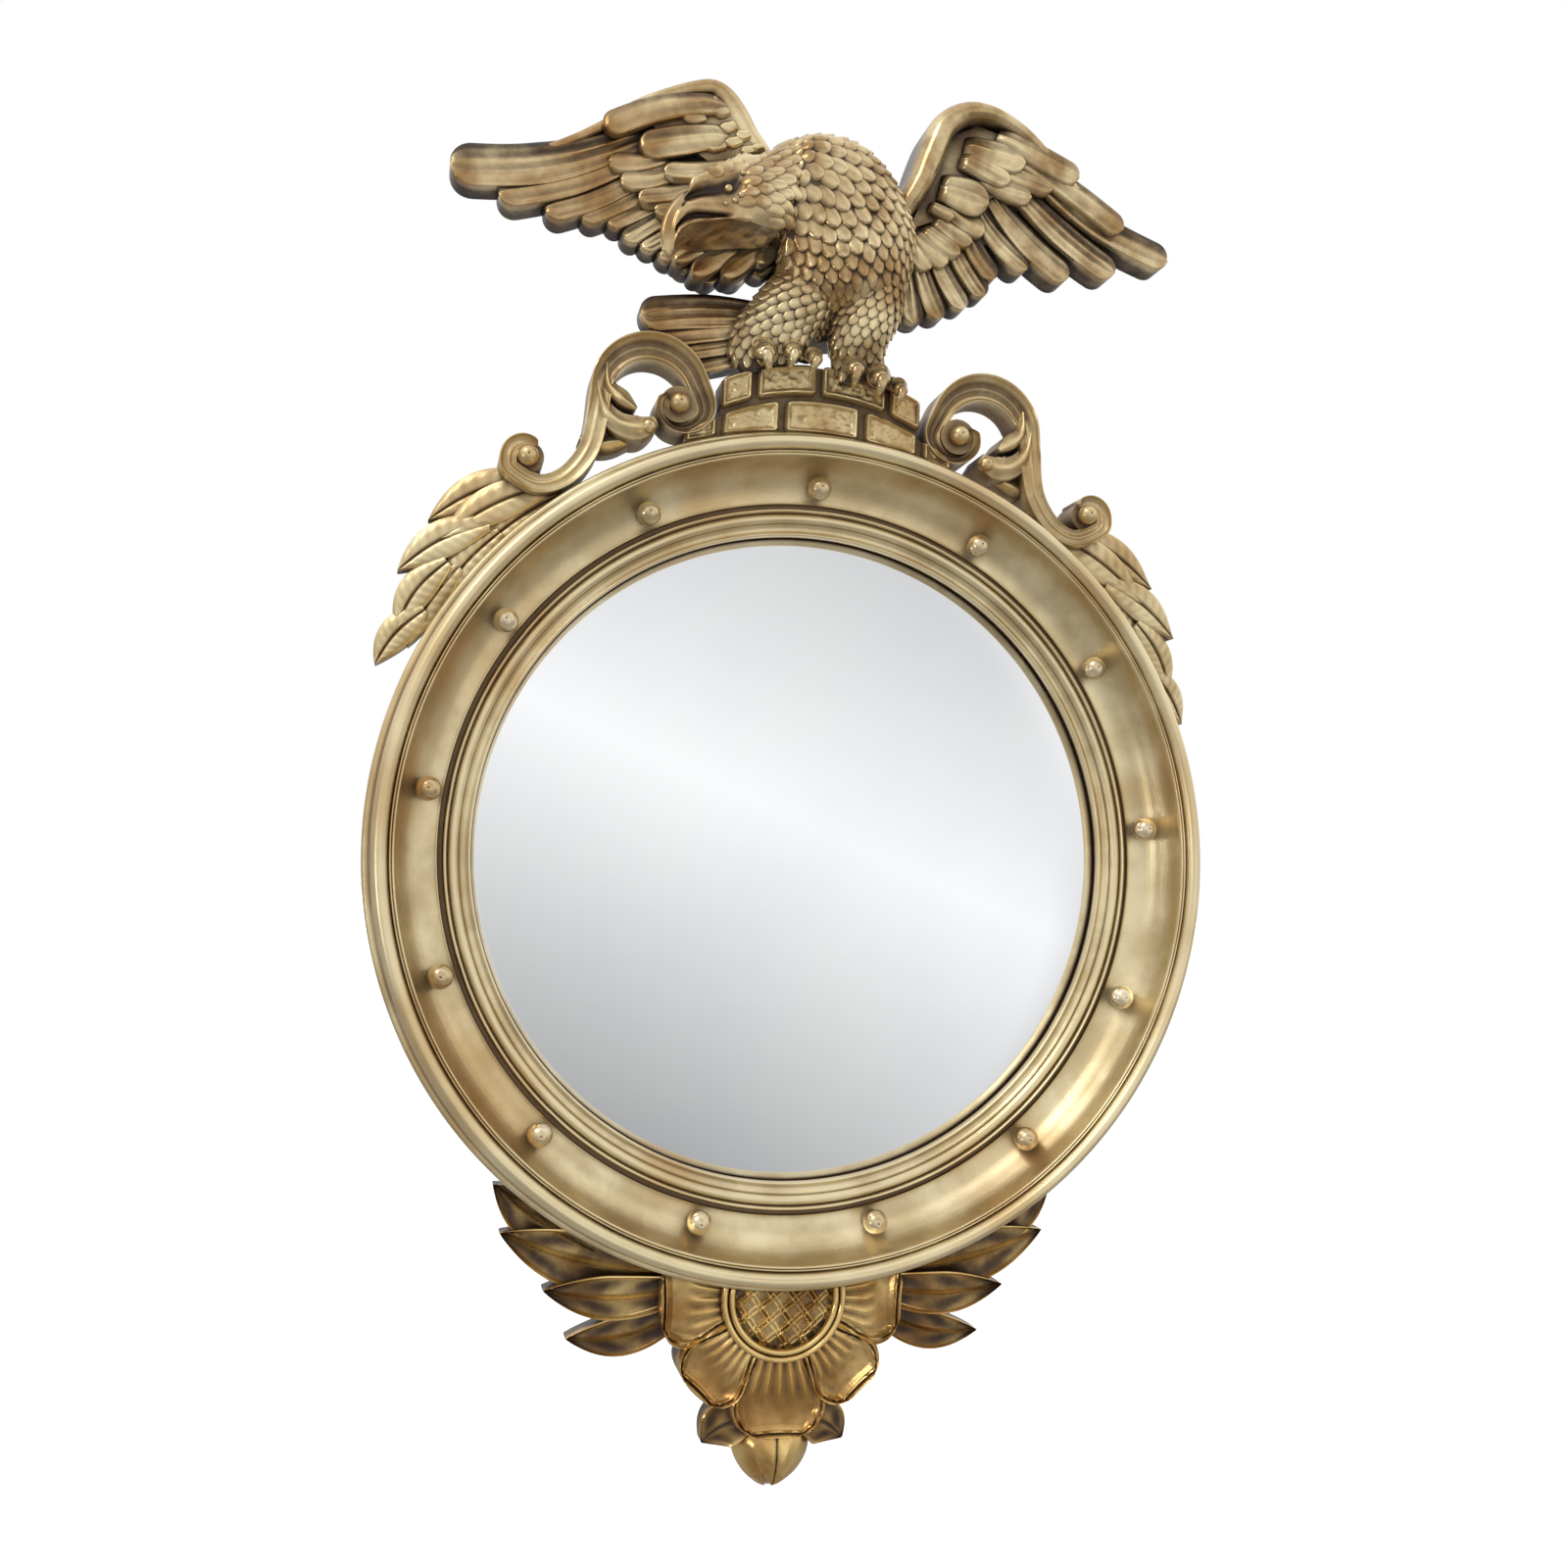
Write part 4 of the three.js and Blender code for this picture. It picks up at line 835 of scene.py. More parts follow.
# For each foot, its toes as (x, above the ring's centre, half width, how far the claw points sideways).
feet = {"left": [(-36.2, 270.3, 6.6, 3.6), (-21.0, 272.8, 5.6, -2.4), (-8.6, 270.6, 4.9, -3.6)],
        "right": [(14.0, 267.4, 6.3, -0.8), (28.6, 263.8, 6.6, -1.4), (40.2, 259.2, 4.8, -2.6)]}
for side, toes in feet.items():
    foot = Carving()
    middle_x = sum(x for x, *_ in toes) / len(toes)
    for x, up, wide, bend in toes:
        near = x + (middle_x - x) * 0.22
        toe = [(near, 21, up + 6.0, wide * 0.8, wide * 0.7),
               (near * 0.4 + x * 0.6, 27, up + 4.8, wide * 1.0, wide * 0.86),
               (x, 32.0, up + 2.8, wide * 0.86, wide * 0.78), (x, 35.6, up + 1.2, wide * 1.06, wide * 0.98),
               (x, 38.6, up - 1.2, wide * 0.82, wide * 0.82), (x, 40.0, up - 3.4, wide * 0.86, wide * 0.8),
               (x, 39.4, up - 5.8, wide * 0.5, wide * 0.5)]
        # Painted highlight on the knuckles and painted shade in the creases between them; the claws darken
        # towards their roots and the bar under the toes is dark, both painted shade.
        worn_and_shaded = np.interp(np.linspace(0, 6, 44), np.arange(7), [0.2, 0.6, 0.25, 0.85, 0.15, 0.75, 0.0])
        tube(foot, toe, worn_and_shaded[:, None], sides=24, steps=44)
        size = wide * 0.5
        claw = [(x, 37.5, up - 1.0, size, size), (x, 42.6, up - 3.2, size * 1.06, size),
                (x + bend * 0.25, 43.6, up - 7.2, size * 0.84, size * 0.8),
                (x + bend * 0.6, 41.4, up - 10.8, size * 0.5, size * 0.5),
                (x + bend, 37.9, up - 13.6, size * 0.1, size * 0.1)]
        tube(foot, claw, np.linspace(0.2, 1.0, 30)[:, None], steps=30)
    low = [(x, 23.5, up + 4.5, wide * 0.9, wide * 1.0) for x, up, wide, bend in toes]
    tube(foot, [(low[0][0] - 3, *low[0][1:3], 1.5, 1.5), *low, (low[-1][0] + 2, *low[-1][1:3], 1.5, 1.5)],
         0.25)
    foot.made(f"eagle_foot_{side}", eagle_gilt, [f"foot_{side}"], "eagle_gilt", crease=60)

# 11. Wings
# Each wing is a carved panel: long ridged flight feathers along its lower edge, two rows of round-ended
# coverts over them, and a thick rolled leading edge. Its sides are cut square and carry a dark tone,
# painted shade.


wing_back = 6.2
covert_back = 12.0
flight = dict(back=wing_back, raised=1.3, quill=0.8, blunt=0.5, base=0.6, dome=0.4, high=0.36)
covert = dict(back=covert_back, raised=0.5, quill=0.35, blunt=0.52, base=0.72, dome=1.5, high=0.48)


def slab(carving, outline, front, back, high=0.1):
    """A flat board cut to an outline in X and up from the ring's top."""
    outline = np.array(outline, float)
    loop = np.stack([outline[:, 0], np.zeros(len(outline)), outline[:, 1] + ring_top], -1)
    back = back + back_step * len(carving.points)
    # The board's tone is dark unless given: painted shade on the ground between feathers.
    carving.skin([loop - [0, back, 0], loop - [0, front, 0]], high)


def bowed(root, tip, bow, t):
    """Places from root to tip on a line bowed sideways, and how far apart its ends are."""
    root, tip = np.array(root, float), np.array(tip, float)
    run = tip - root
    length = np.linalg.norm(run)
    aside = np.array([-run[1], run[0]]) / length
    return root + run * t[:, None] + aside * (bow * np.sin(math.pi * t))[:, None], length


def feather(carving, root, tip, width, bow, front, back, *, raised, ridges, quill, blunt, base, dome, high,
            seed=0.0, lower=1):
    """A flight feather or covert from root to tip in (x, up): rounded at its end, with a quill, fine
    lengthwise ridges, and one edge lifted over its neighbour."""
    t = np.sin(np.linspace(0, 1, 46) * math.pi / 2) ** 1.25
    t[-1] = 1.0
    centre, length = bowed(root, tip, bow, t)
    centre[:, 1] += ring_top
    body_width = base + (1 - base) * np.clip(t / 0.55, 0, 1) ** 0.8
    start = 1 - blunt * width / length
    nose = np.sqrt(np.clip(1 - (np.clip(t - start, 0, 1) / (1 - start)) ** 2.2, 0, 1))
    half = width / 2 * body_width * (0.04 + 0.96 * nose)
    s = np.linspace(-1, 1, 31)[None, :]
    t = t[:, None]
    sway = 0.12 * np.sin(3.0 * t + seed)
    fade = np.clip(t / 0.15, 0, 1) * np.clip((1.02 - t) / 0.12, 0, 1)
    rib = np.cos((s + sway) * math.pi * ridges + seed) * (0.7 + 0.3 * np.sin(5 * t + seed))
    line = bump_at(s + 0.08 * np.sin(2 * t + seed), 0, 0.09)
    off = front[0] + (front[1] - front[0]) * t + raised * s * lower * 0.9
    off = off + dome * (1 - s ** 2) + 0.34 * rib * fade * (width / 14) + quill * line * (1 - 0.75 * t)
    off = off - 3.2 * np.clip((0.16 - t) / 0.16, 0, 1) ** 1.5
    end = np.exp(-(1 - t) * length / 1.1)
    edge = np.exp(-(1 - np.abs(s)) * half[:, None] / 0.7)
    off = off - 0.8 * np.maximum(end, edge)
    # Painted highlight along the quill, ribs and tip edge; painted shade on the edge tucked under its
    # neighbour and at the root.
    high = high + 0.17 * rib * fade + 0.2 * line + 0.2 * s * lower * raised + 0.3 * end
    high = high - 0.5 * np.clip(-s * lower, 0, 1) ** 4 * min(raised, 1) - 0.2 * (1 - np.clip(t / 0.2, 0, 1))
    strip(carving, centre, half, off, np.clip(high, 0.02, 1), back)


def plumage(carving, rows, front, drop, seed, cut, step=0.0):
    """A row of (root x, root up, tip x, tip up, width, bow), laid from the last feather to the first. Each
    drops from root to tip, and lies a step further back than the one before it in the list."""
    for i, (root_x, root_up, tip_x, tip_up, width, bow) in enumerate(rows[::-1]):
        laid = front - step * (len(rows) - 1 - i)
        feather(carving, (root_x, root_up), (tip_x, tip_up), width, bow, (laid, laid - drop), **cut,
                ridges=2.5 + i % 2 if cut is flight else 2.0, lower=1 if tip_x < root_x else -1,
                seed=seed + 1.7 * i)


def leading_edge(carving, stations):
    """The rolled front edge of a wing, round in front and flat behind."""
    x, off, up, wide, deep = smoothed(stations, np.linspace(0, len(stations) - 1, 90)).T
    centre = np.stack([x, up + ring_top], -1)
    s = np.linspace(-1, 1, 25)[None, :]
    front = (off + deep)[:, None] - deep[:, None] * (1 - np.sqrt(np.clip(1 - s ** 2, 0, 1))) * 0.95
    # Darker towards its sides: painted shade.
    tone = np.clip(0.75 - 0.55 * s ** 4 + 0 * front, 0, 1)
    strip(carving, centre, np.abs(wide), front, tone, wing_back)


left_wing = Carving()
slab(left_wing, [
    (-30, 112), (-30, 140), (-46, 162), (-58, 182), (-86, 176), (-112, 156), (-98, 128), (-66, 104),
    (-44, 102)], 23, wing_back)
plumage(left_wing, [
    (-104, 158, -207, 125, 24, 8), (-98, 153, -181, 112, 18, 5), (-92, 147, -156, 106.5, 16, 4),
    (-86, 142, -137, 106, 14, 3), (-82, 138, -123, 105, 12.5, 3), (-76, 134, -113.5, 97.5, 12.5, 2),
    (-68, 128, -104, 94.5, 12.5, 2), (-60, 122, -94, 90, 13, 2), (-50, 116, -84, 86, 14, 0),
    (-42, 110, -72, 81, 15, 0), (-30, 110, -57, 82, 15, -2), (-22, 112, -41, 87.5, 14, -2)],
    25, 1.5, 0.4, flight, step=0.1)
plumage(left_wing, [
    (-92, 144, -124.5, 136.5, 12, 2), (-86, 138, -117.5, 127, 12.5, 2),
    (-72, 132, -107.5, 118.5, 13, 2), (-66, 124, -98.5, 114, 12.5, 2)], 28.0, 0.4, 2.1, covert)
plumage(left_wing, [
    (-62, 177, -127.5, 153.5, 15, -4.5), (-60, 160, -108, 145.5, 17, -1),
    (-54, 144, -94.8, 134.5, 12.5, 2)], 31.0, 0.2, 3.3, covert)
slab(left_wing, [
    (-32, 138), (-42, 156), (-54, 168), (-66, 182), (-78, 181), (-93, 175.5), (-112, 166), (-100, 158),
    (-84, 158), (-80, 150), (-60, 138), (-46, 130)], 28.6, covert_back, high=0.4)
leading_edge(left_wing, [
    (-31, 22, 140, 4, 5), (-38.8, 24, 153.9, 4.9, 4.5), (-48.2, 25, 163.8, 6, 4.2),
    (-55, 25.5, 173.8, 6.4, 4.2), (-61.6, 26, 182.3, 5.8, 4), (-68.5, 26, 186.9, 4.6, 3.8),
    (-77.5, 26, 185.6, 4.2, 3.6), (-93, 26, 179.6, 3.5, 3.2), (-110, 25.5, 170.9, 3, 3),
    (-124, 24.5, 159.8, 2.8, 2.8), (-141, 23, 149, 2.5, 2.4), (-160, 21.5, 139.7, 2.3, 2.2),
    (-180, 20.5, 135.2, 2.1, 2), (-204, 19.5, 132, 1.5, 1.6)])
for root, tip, wide in (((-69, 95), (-87, 84.5), 9.5), ((-50, 99), (-77, 78.5), 12.5),
                        ((-37, 101), (-60, 79.5), 13), ((-30, 102), (-41.5, 89.5), 12)):
    feather(left_wing, root, tip, wide, -1.0, (31, 34), covert_back, raised=0.6, ridges=1, quill=0.15,
            blunt=0.95, base=0.8, dome=0.9, high=0.62)
for i, (tip, root) in enumerate([((-77.5, 176), (-66, 180)), ((-86, 166.5), (-72, 170)),
                                 ((-78, 159.5), (-66, 164)), ((-73, 152), (-60, 156)),
                                 ((-69, 172), (-60, 175)), ((-65, 163.5), (-56, 168)),
                                 ((-62, 155.5), (-52, 160)), ((-56, 160.5), (-48, 164)),
                                 ((-53, 152), (-44, 156)), ((-47, 155), (-40, 158))]):
    feather(left_wing, root, tip, 9 - 0.25 * i, 0.6, (29.2, 29.8 + 0.1 * i), covert_back, raised=0.4,
            ridges=1.5, quill=0.1, blunt=0.6, base=0.75, dome=1.5, seed=1.3 * i, high=0.6)
left_wing.made("eagle_wing_left", eagle_gilt, ["wing_left"], "eagle_gilt", crease=46)

right_wing = Carving()
slab(right_wing, [
    (40, 106), (42, 132), (58, 160), (64, 186), (104, 190), (126, 172), (96, 126), (66, 104)],
     23, wing_back)
slab(right_wing, [
    (46, 124), (56, 152), (66, 180), (84, 190), (104, 186), (130, 168), (110, 160), (80, 140)],
     26.6, covert_back, high=0.34)
plumage(right_wing, [
    (112, 176, 206, 129.5, 17.5, -6), (100, 168, 173, 118, 18, -4), (92, 156, 144.5, 111.5, 17, -4),
    (84, 147, 119, 113, 15, -3), (76, 138, 99.5, 104.5, 14, -2), (68, 130, 94, 94, 14, -2),
    (60, 122, 82, 85, 14, -2), (52, 116, 67.5, 77, 14.5, -1), (44, 112, 53, 72, 14.5, 0)],
    25, 1.5, 5.2, flight, step=0.1)
plumage(right_wing, [
    (104, 178, 175, 141.5, 15, 2), (88, 170, 130.5, 160, 13, -1), (84, 160, 118, 153, 13, -1),
    (66, 140, 90.5, 128.5, 13, -1), (60, 132, 83, 121.5, 13, -1), (54, 126, 76, 113.5, 13, -1),
    (48, 122, 69, 107, 13, -1), (44, 120, 58.5, 102, 13, 0)], 28.0, 0.5, 6.0, covert)
plumage(right_wing, [
    (96, 186, 145.5, 167, 15, 0), (76, 176, 112.5, 171, 16, 0), (74, 168, 103.5, 159.5, 15, 0),
    (62, 150, 91, 144, 22, 0), (56, 138, 71, 133, 8, 0)], 31.0, 0.4, 7.2, covert)
leading_edge(right_wing, [
    (36, 25, 126, 4, 7), (43, 28, 137, 6, 9), (49.5, 30, 150, 7, 10), (55, 31, 166, 7.6, 10.5),
    (62, 32, 183, 7.2, 10), (75.5, 32, 193, 6, 8), (92, 31, 194.6, 4.6, 6.5), (111.5, 29, 188, 3.8, 5),
    (129.5, 27, 175.2, 3.2, 4), (147, 25, 160.6, 2.8, 3.5), (160.5, 24, 148.8, 2.4, 3),
    (170, 22, 142, 1.8, 2.5)])
right_wing.made("eagle_wing_right", eagle_gilt, ["wing_right"], "eagle_gilt", crease=46)

# 12. Tail
# The tail is four long feathers side by side that pass behind the legs, with blunt ends and fine lines
# cut along them. Its thick sides carry a dark tone, painted shade.

tail = Carving()
plumage(tail, [(-20, 66, -102, 58, 20, -3), (-20, 60, -97, 45.5, 15, -3), (-24, 52, -86, 38, 12, -2),
               (-30, 44, -74, 31.5, 10, -1)], 20.5, 0.5, 1.1, flight)
tail.made("eagle_tail", eagle_gilt, ["tail_feathers"], "eagle_gilt", crease=46)

# 13. Scrolls
# Each scroll is sawn and carved from one board. A hollowed ribbon runs from a small volute over the stem
# and round an open loop into a second volute, with acanthus lobes in its bend. Both volutes end in a ball.


def spiral(centre, first_radius, last_radius, first, last, steps):
    """Places on a spiral round a centre, by degrees from the x axis."""
    turn = np.radians(np.linspace(first, last, steps + 1))
    radius = np.linspace(first_radius, last_radius, steps + 1)
    return [(centre[0] + r * math.cos(a), centre[1] + r * math.sin(a)) for r, a in zip(radius, turn)]


def knob(carving, place, radius, front):
    """A ball on a short stalk, with the lathe's dimple in its front."""
    rear = relief_back + back_step * len(carving.points)
    middle = front - radius
    section = [(0.02, rear), (radius * 0.72, rear), (radius * 0.72, middle - radius * 0.75)]
    section += arc((0.0, middle), (radius, radius), -46, 84, 20)
    section += [(0.5, front - 0.35), (0.02, front - 0.55)]
    # The stalk and the ball's lower side are dark, painted shade under the ball; the dimple keeps brown
    # glaze.
    turning(carving, section, place, 40, relief=[0.0, 0.0, 0.1] + [0.15] * 3 + [0.8] * 17 + [0.25, 0.0])


def acanthus(carving, stations, flutes, seed=0.0):
    """A fluted lobe through (x, up, half width, front)."""
    x, up, half, front = smoothed(stations, np.linspace(0, len(stations) - 1, 60)).T
    t, s = np.linspace(0, 1, 60)[:, None], np.linspace(-1, 1, 25)[None, :]
    flute = np.cos(s * math.pi * flutes + seed)
    fade = np.clip(t / 0.2, 0, 1) * np.clip((1.0 - t) / 0.25, 0.25, 1)
    off = front[:, None] + 2.2 * np.sqrt(np.clip(1 - s ** 2, 0, 1)) + 0.9 * flute * fade - 2.0
    high = np.clip(0.55 + 0.35 * flute * fade - 0.45 * s ** 6, 0, 1)
    strip(carving, np.stack([x, up + ring_top], -1), np.maximum(half, 0.2), off, high, relief_back)


def scroll():
    """The left-hand scroll: its ribbon, the volutes' grounds and balls, and three lobes."""
    carving = Carving()
    line = spiral((-158, -28), 5.5, 11.5, 40, 225, 5)
    line += [(-152, -42.5), (-138, -37), (-127, -22), (-123, -4)]
    line += spiral((-94.5, 12.5), 27, 26, 172, 24, 8)
    line += spiral((-79.5, 9), 14.5, 7.6, 0, -215, 6)
    share = np.linspace(0, 1, 300)
    centre = smoothed(line, share * (len(line) - 1)) + [0, ring_top]
    half = 5.7 * (0.5 + 0.5 * np.sin(math.pi * share) ** 0.7)
    half *= np.clip(share / 0.03, 0.15, 1) * np.clip((1 - share) / 0.03, 0.15, 1)
    half *= 1 + 0.3 * bump_at(share, 0.6, 0.16)
    t, s = share[:, None], np.linspace(-1, 1, 27)[None, :]
    lean = np.clip((t - 0.22) / 0.16, 0, 1) * 2 - 1
    loop = np.clip((t - 0.36) / 0.1, 0, 1) * np.clip((0.97 - t) / 0.1, 0, 1)
    volute = np.clip((0.17 - t) / 0.1, 0, 1)
    stem = 1 - loop
    outward = s * lean
    fall = (1 - outward) / 2
    fine = loop * np.cos(s * math.pi * 3.4)
    off = 29.5 - (2.0 + 3.0 * loop + 1.0 * volute) * fall ** 1.2 - (2.2 + 2.6 * loop) * (1 - s ** 2) ** 0.8
    off = off + 0.45 * fine + 1.0 * bump_at(outward, 0.86, 0.13) + 0.9 * bump_at(outward, -0.88, 0.12)
    off = off + 1.3 * stem * (1 - volute) * bump_at(s, 0.1, 0.22) - 1.1 * bump_at(np.abs(s), 1.02, 0.06)
    # Bright rims and stem ridge, partly wear and partly painted highlight; the dark inside the loop's bend
    # is painted shade.
    high = 0.36 + 0.5 * bump_at(outward, 0.86, 0.14) + 0.5 * bump_at(outward, -0.88, 0.13) + 0.15 * fine
    high = high + 0.3 * stem * bump_at(s, 0.1, 0.25) - 0.42 * loop * bump_at(outward, 0.25, 0.5)
    strip(carving, centre, half, off, np.clip(high, 0, 1), relief_back)
    for place, reach in (((-158, ring_top - 28.5), 8.5), ((-79.5, ring_top + 9), 10)):
        rear = relief_back + back_step * len(carving.points)
        # Painted shade: the ground is dark round the ball and on its sides.
        turning(carving, [(0.02, rear), (reach, rear), (reach, 25.5), (0.02, 25.5)], place, 40,
                relief=[0.0, 0.0, 0.15, 0.0])
        knob(carving, place, 5.6, 34.5)
    acanthus(carving, [(-124, 20, 2.2, 25), (-120.5, 4, 4.6, 27), (-112, -5, 6.2, 28.5),
                       (-101, -7.5, 6.6, 31), (-92, -3, 3.2, 31)], 1.6)
    acanthus(carving, [(-119, 30, 1.4, 23), (-117, 16, 3.4, 26), (-110, 8.5, 4.4, 29),
                       (-103, 3, 1.6, 29.5)], 1.1, 1.0)
    acanthus(carving, [(-131, -13, 2, 18), (-122, -15, 5.5, 19), (-113, -13, 6, 20),
                       (-103, -11, 2.5, 21)], 1.5, 0.6)
    knob(carving, (-95.5, ring_top - 6), 4.4, 33.5)
    return carving


def pressed(carving, sign=1):
    """Trim a relief against the ring, which it is glued to, and mirror it for the other side."""
    for points in carving.points:
        reach = np.hypot(points[:, 0], points[:, 2])
        points[:, ::2] *= np.maximum(ring_side / reach, 1)[:, None]
        points[:, 0] *= sign
    return carving


both_sides = (("left", 1), ("right", -1))
for side, sign in both_sides:
    pressed(scroll(), sign).made(f"acanthus_scroll_{side}", champagne, [f"scroll_{side}"],
                                 "champagne_gilt", crease=44)

# 14. Leaf sprays
# Eight laurel leaves lie on each shoulder of the ring, each with a knife-cut vein, one tip over the next.
# Their cut sides are thick, and their dark tone is painted shade.


def leaf(carving, root, tip, width, bow, front, back, veins=9.0, seed=0.0, widest=0.46, hollow=0.0,
         rib=-0.9, upper=0.0):
    """A pointed leaf from root to tip in (x, z). Its halves bulge, or are hollowed between raised lines."""
    t = np.linspace(0, 1, 54)
    centre, _ = bowed(root, tip, bow, t)
    rise = np.where(t < widest, 0.42 + 0.58 * np.sin(t / widest * math.pi / 2),
                    np.cos(np.clip((t - widest) / (1 - widest), 0, 1) * math.pi / 2) ** 0.86)
    half = np.maximum(width / 2 * rise, 0.12)
    t, s = t[:, None], np.linspace(-1, 1, 29)[None, :]
    out = np.abs(s)
    vein = bump_at(s, 0, 0.075)
    cuts = np.sin(t * veins * 2 * math.pi + out * 5.0 + seed)
    side = out * (1 - out) * 4
    off = front[0] + (front[1] - front[0]) * t + rib * vein * np.clip((1 - t) / 0.15, 0, 1)
    off = off + (0.9 - hollow) * side + 0.1 * cuts * side + upper * s
    off = off + (0.8 * bump_at(out, 0.93, 0.06) if hollow > 0 else -0.8 * out ** 3)
    # Painted shade in the hollowed halves; the raised rib and edges are bright, partly wear and partly
    # painted highlight.
    high = 0.42 + 0.12 * cuts * side + (0.35 if rib > 0 else -0.6) * vein
    high = high + 0.35 * bump_at(out, 0.95, 0.07) - 0.3 * min(hollow, 1) * side
    strip(carving, centre, half, off, np.clip(high, 0, 1), back)


def leaves(rows, drop, back, seed_step, **cut):
    """A carving of leaves from (root x, root z, tip x, tip z, width, bow, front) each, in a row's order."""
    carving = Carving()
    for i, (root_x, root_z, tip_x, tip_z, width, bow, front) in enumerate(rows):
        leaf(carving, (root_x, root_z), (tip_x, tip_z), width, bow, (front, front - drop), back,
             seed=i * seed_step, **cut)
    return carving


shoulder_leaves = [
    (-206, 118, -229.5, 88, 17, -3, 14.5), (-190, 142, -213.5, 98.5, 16, -3, 15.5),
    (-196, 144, -220, 106.5, 18, -4, 16.5), (-170, 162, -200, 121, 17.5, -3, 17),
    (-176, 166, -221, 137.5, 20, -4, 18), (-138, 186, -184, 147, 18, -3, 18.5),
    (-150, 192, -207, 166, 20, -6, 16.5), (-144, 190, -200, 156, 20.5, -4, 20)]
for side, sign in both_sides:
    spray = leaves(shoulder_leaves, 4.5, relief_back, 1.9, upper=0.7)
    pressed(spray, sign).made(f"laurel_spray_{side}", champagne, [f"leaf_spray_{side}"],
                              "champagne_gilt", crease=44)

# 15. Pendant flower and its boss
# Half a sunflower hangs from the ring. Five cupped petals with rolled rims and fine flutes stand round a
# boss with a doubled beaded rim and a carved basket weave. It is burnished, in a deeper gold than the ring.

pendant_gilt = gilt("pendant_gilt_burnished", (176, 134, 74), (234, 202, 136), (50, 31, 13), 0.64,
                    patina_and_shade=0.75, dark=0.68)
flower_centre = (0.0, -234.0)


def petal(carving, turn, reach, width):
    """A petal hung from the boss at so many degrees from straight down."""
    near, start = 27.0, 0.62
    way = math.radians(180 - turn)
    away = np.array([math.sin(way), math.cos(way)])
    t = np.sin(np.linspace(0, 1, 70) * math.pi / 2) ** 1.1
    centre = np.array(flower_centre) + away * (near + (reach - near) * t)[:, None]
    open_ = smoothed([[0.56], [0.66], [0.84], [1.0], [0.98]], np.clip(t * 5, 0, 4))[:, 0]
    end = np.clip((t - start) / (1 - start), 0, 1)
    half = width / 2 * open_ * np.sqrt(np.clip(1 - end ** 3.0, 0, 1)) * 0.985 + 0.25
    s = np.linspace(-1, 1, 61)[None, :]
    aside = (1 - np.abs(s)) * half[:, None]
    t = t[:, None]
    to_end = (1 - t) * (reach - near) * (1 + 0.35 * s ** 2)
    edge = np.minimum(aside, to_end)
    flute = np.clip((0.66 - t) / 0.18, 0, 1) * np.clip((edge - 2.0) / 2.0, 0, 1)
    flute = np.cos(s * math.pi * 6.5) * flute
    rim_roll = 1.9 * bump_at(edge, 1.4, 0.95) + 0.7 * bump_at(edge, 3.9, 0.6)
    quirk_cut = bump_at(edge, 2.9, 0.45)
    cup = np.clip((edge - 3.4) / 4.0, 0, 1) * bump_at(t, 0.74, 0.24)
    off = 23.0 + 2.0 * t ** 2 + 1.6 * np.sin(math.pi * t) * (1 - s ** 2) - 3.4 * cup + rim_roll
    off = off - 0.8 * quirk_cut + 0.55 * flute - 1.2 * np.exp(-edge / 0.5)
    # Painted shade in the cup and at the root, under the boss; the quirk keeps brown glaze.
    high = 0.55 + 0.3 * flute + 0.28 * rim_roll - 0.75 * quirk_cut - 0.15 * cup
    high = high - 0.5 * np.clip((0.12 - t) / 0.1, 0, 1)
    strip(carving, centre, half, off, np.clip(high, 0, 1), relief_back)


flower = Carving()
plate_section = [(0.02, relief_back), (37, relief_back), (37.5, 6), (37, 15.4), (0.02, 15.4)]
turning(flower, plate_section, flower_centre, 96, relief=[0.0] * 5)
for turn, reach, width in ((-88, 66, 50), (88, 66, 50), (-43, 67, 42), (43, 67, 42), (0, 73.5, 52)):
    petal(flower, turn, reach, width)
pressed(flower).made("sunflower_petals", pendant_gilt, ["pendant_flower"], "pendant_gilt", crease=46)

boss = Carving()
radii = np.concatenate([np.linspace(0.05, 25.6, 66), [26.0, 26.4]])
around = np.linspace(0, 2 * math.pi, 240, endpoint=False)[:, None]
x, z = radii * np.sin(around), radii * np.cos(around)
pitch, skew = 8.6, math.radians(38)
u = (x * math.cos(skew) + z * math.sin(skew)) / pitch
v = (-x * math.sin(skew) + z * math.cos(skew)) / pitch


def strand(across, along_cell, over):
    """A double strand of the weave, that rises over one crossing and dips under the next."""
    place = (across % 1.0) - 0.5
    wave = 0.5 + 0.5 * np.cos(math.pi * (along_cell + over))
    return bump_at(np.abs(place), 0.14, 0.085) * (0.45 + 0.9 * wave)


weave = np.maximum(strand(u, v + np.floor(u), 0.0), strand(v, u + np.floor(v), 1.0))
weave_high = np.clip(0.3 + 0.75 * weave, 0, 1)
crown = 24.2 + 2.6 * (1 - (radii / 27.0) ** 2)
front_off = crown + weave * 1.7 * np.clip((26.0 - radii) / 1.2, 0, 1)
bead_section = arc((28.2, 27.0), (1.7, 2.2), 170, 10, 10) + [(29.9, 25.8)]
bead_section += arc((32.0, 26.4), (1.9, 2.4), 165, -20, 12) + [(34.0, 22.0), (34.0, 16.2), (0.05, 16.2)]
bead_high = [0.3, 0.6, 0.9, 1, 1, 1, 0.9, 0.7, 0.4, 0.1, 0.0, 0.1, 0.5, 0.8, 1, 1, 1, 1, 0.9, 0.7, 0.5,
             0.3, 0.2, 0.1, 0.0, 0.0]
bead_r, bead_off = np.array(bead_section).T
all_r = np.concatenate([radii, bead_r])
all_off = np.concatenate([front_off, np.tile(bead_off, (len(around), 1))], 1)
boss.skin(np.stack([flower_centre[0] + all_r * np.sin(around), -all_off,
                    flower_centre[1] + all_r * np.cos(around)], -1),
          np.concatenate([weave_high, np.tile(bead_high, (len(around), 1))], 1), endless=True)
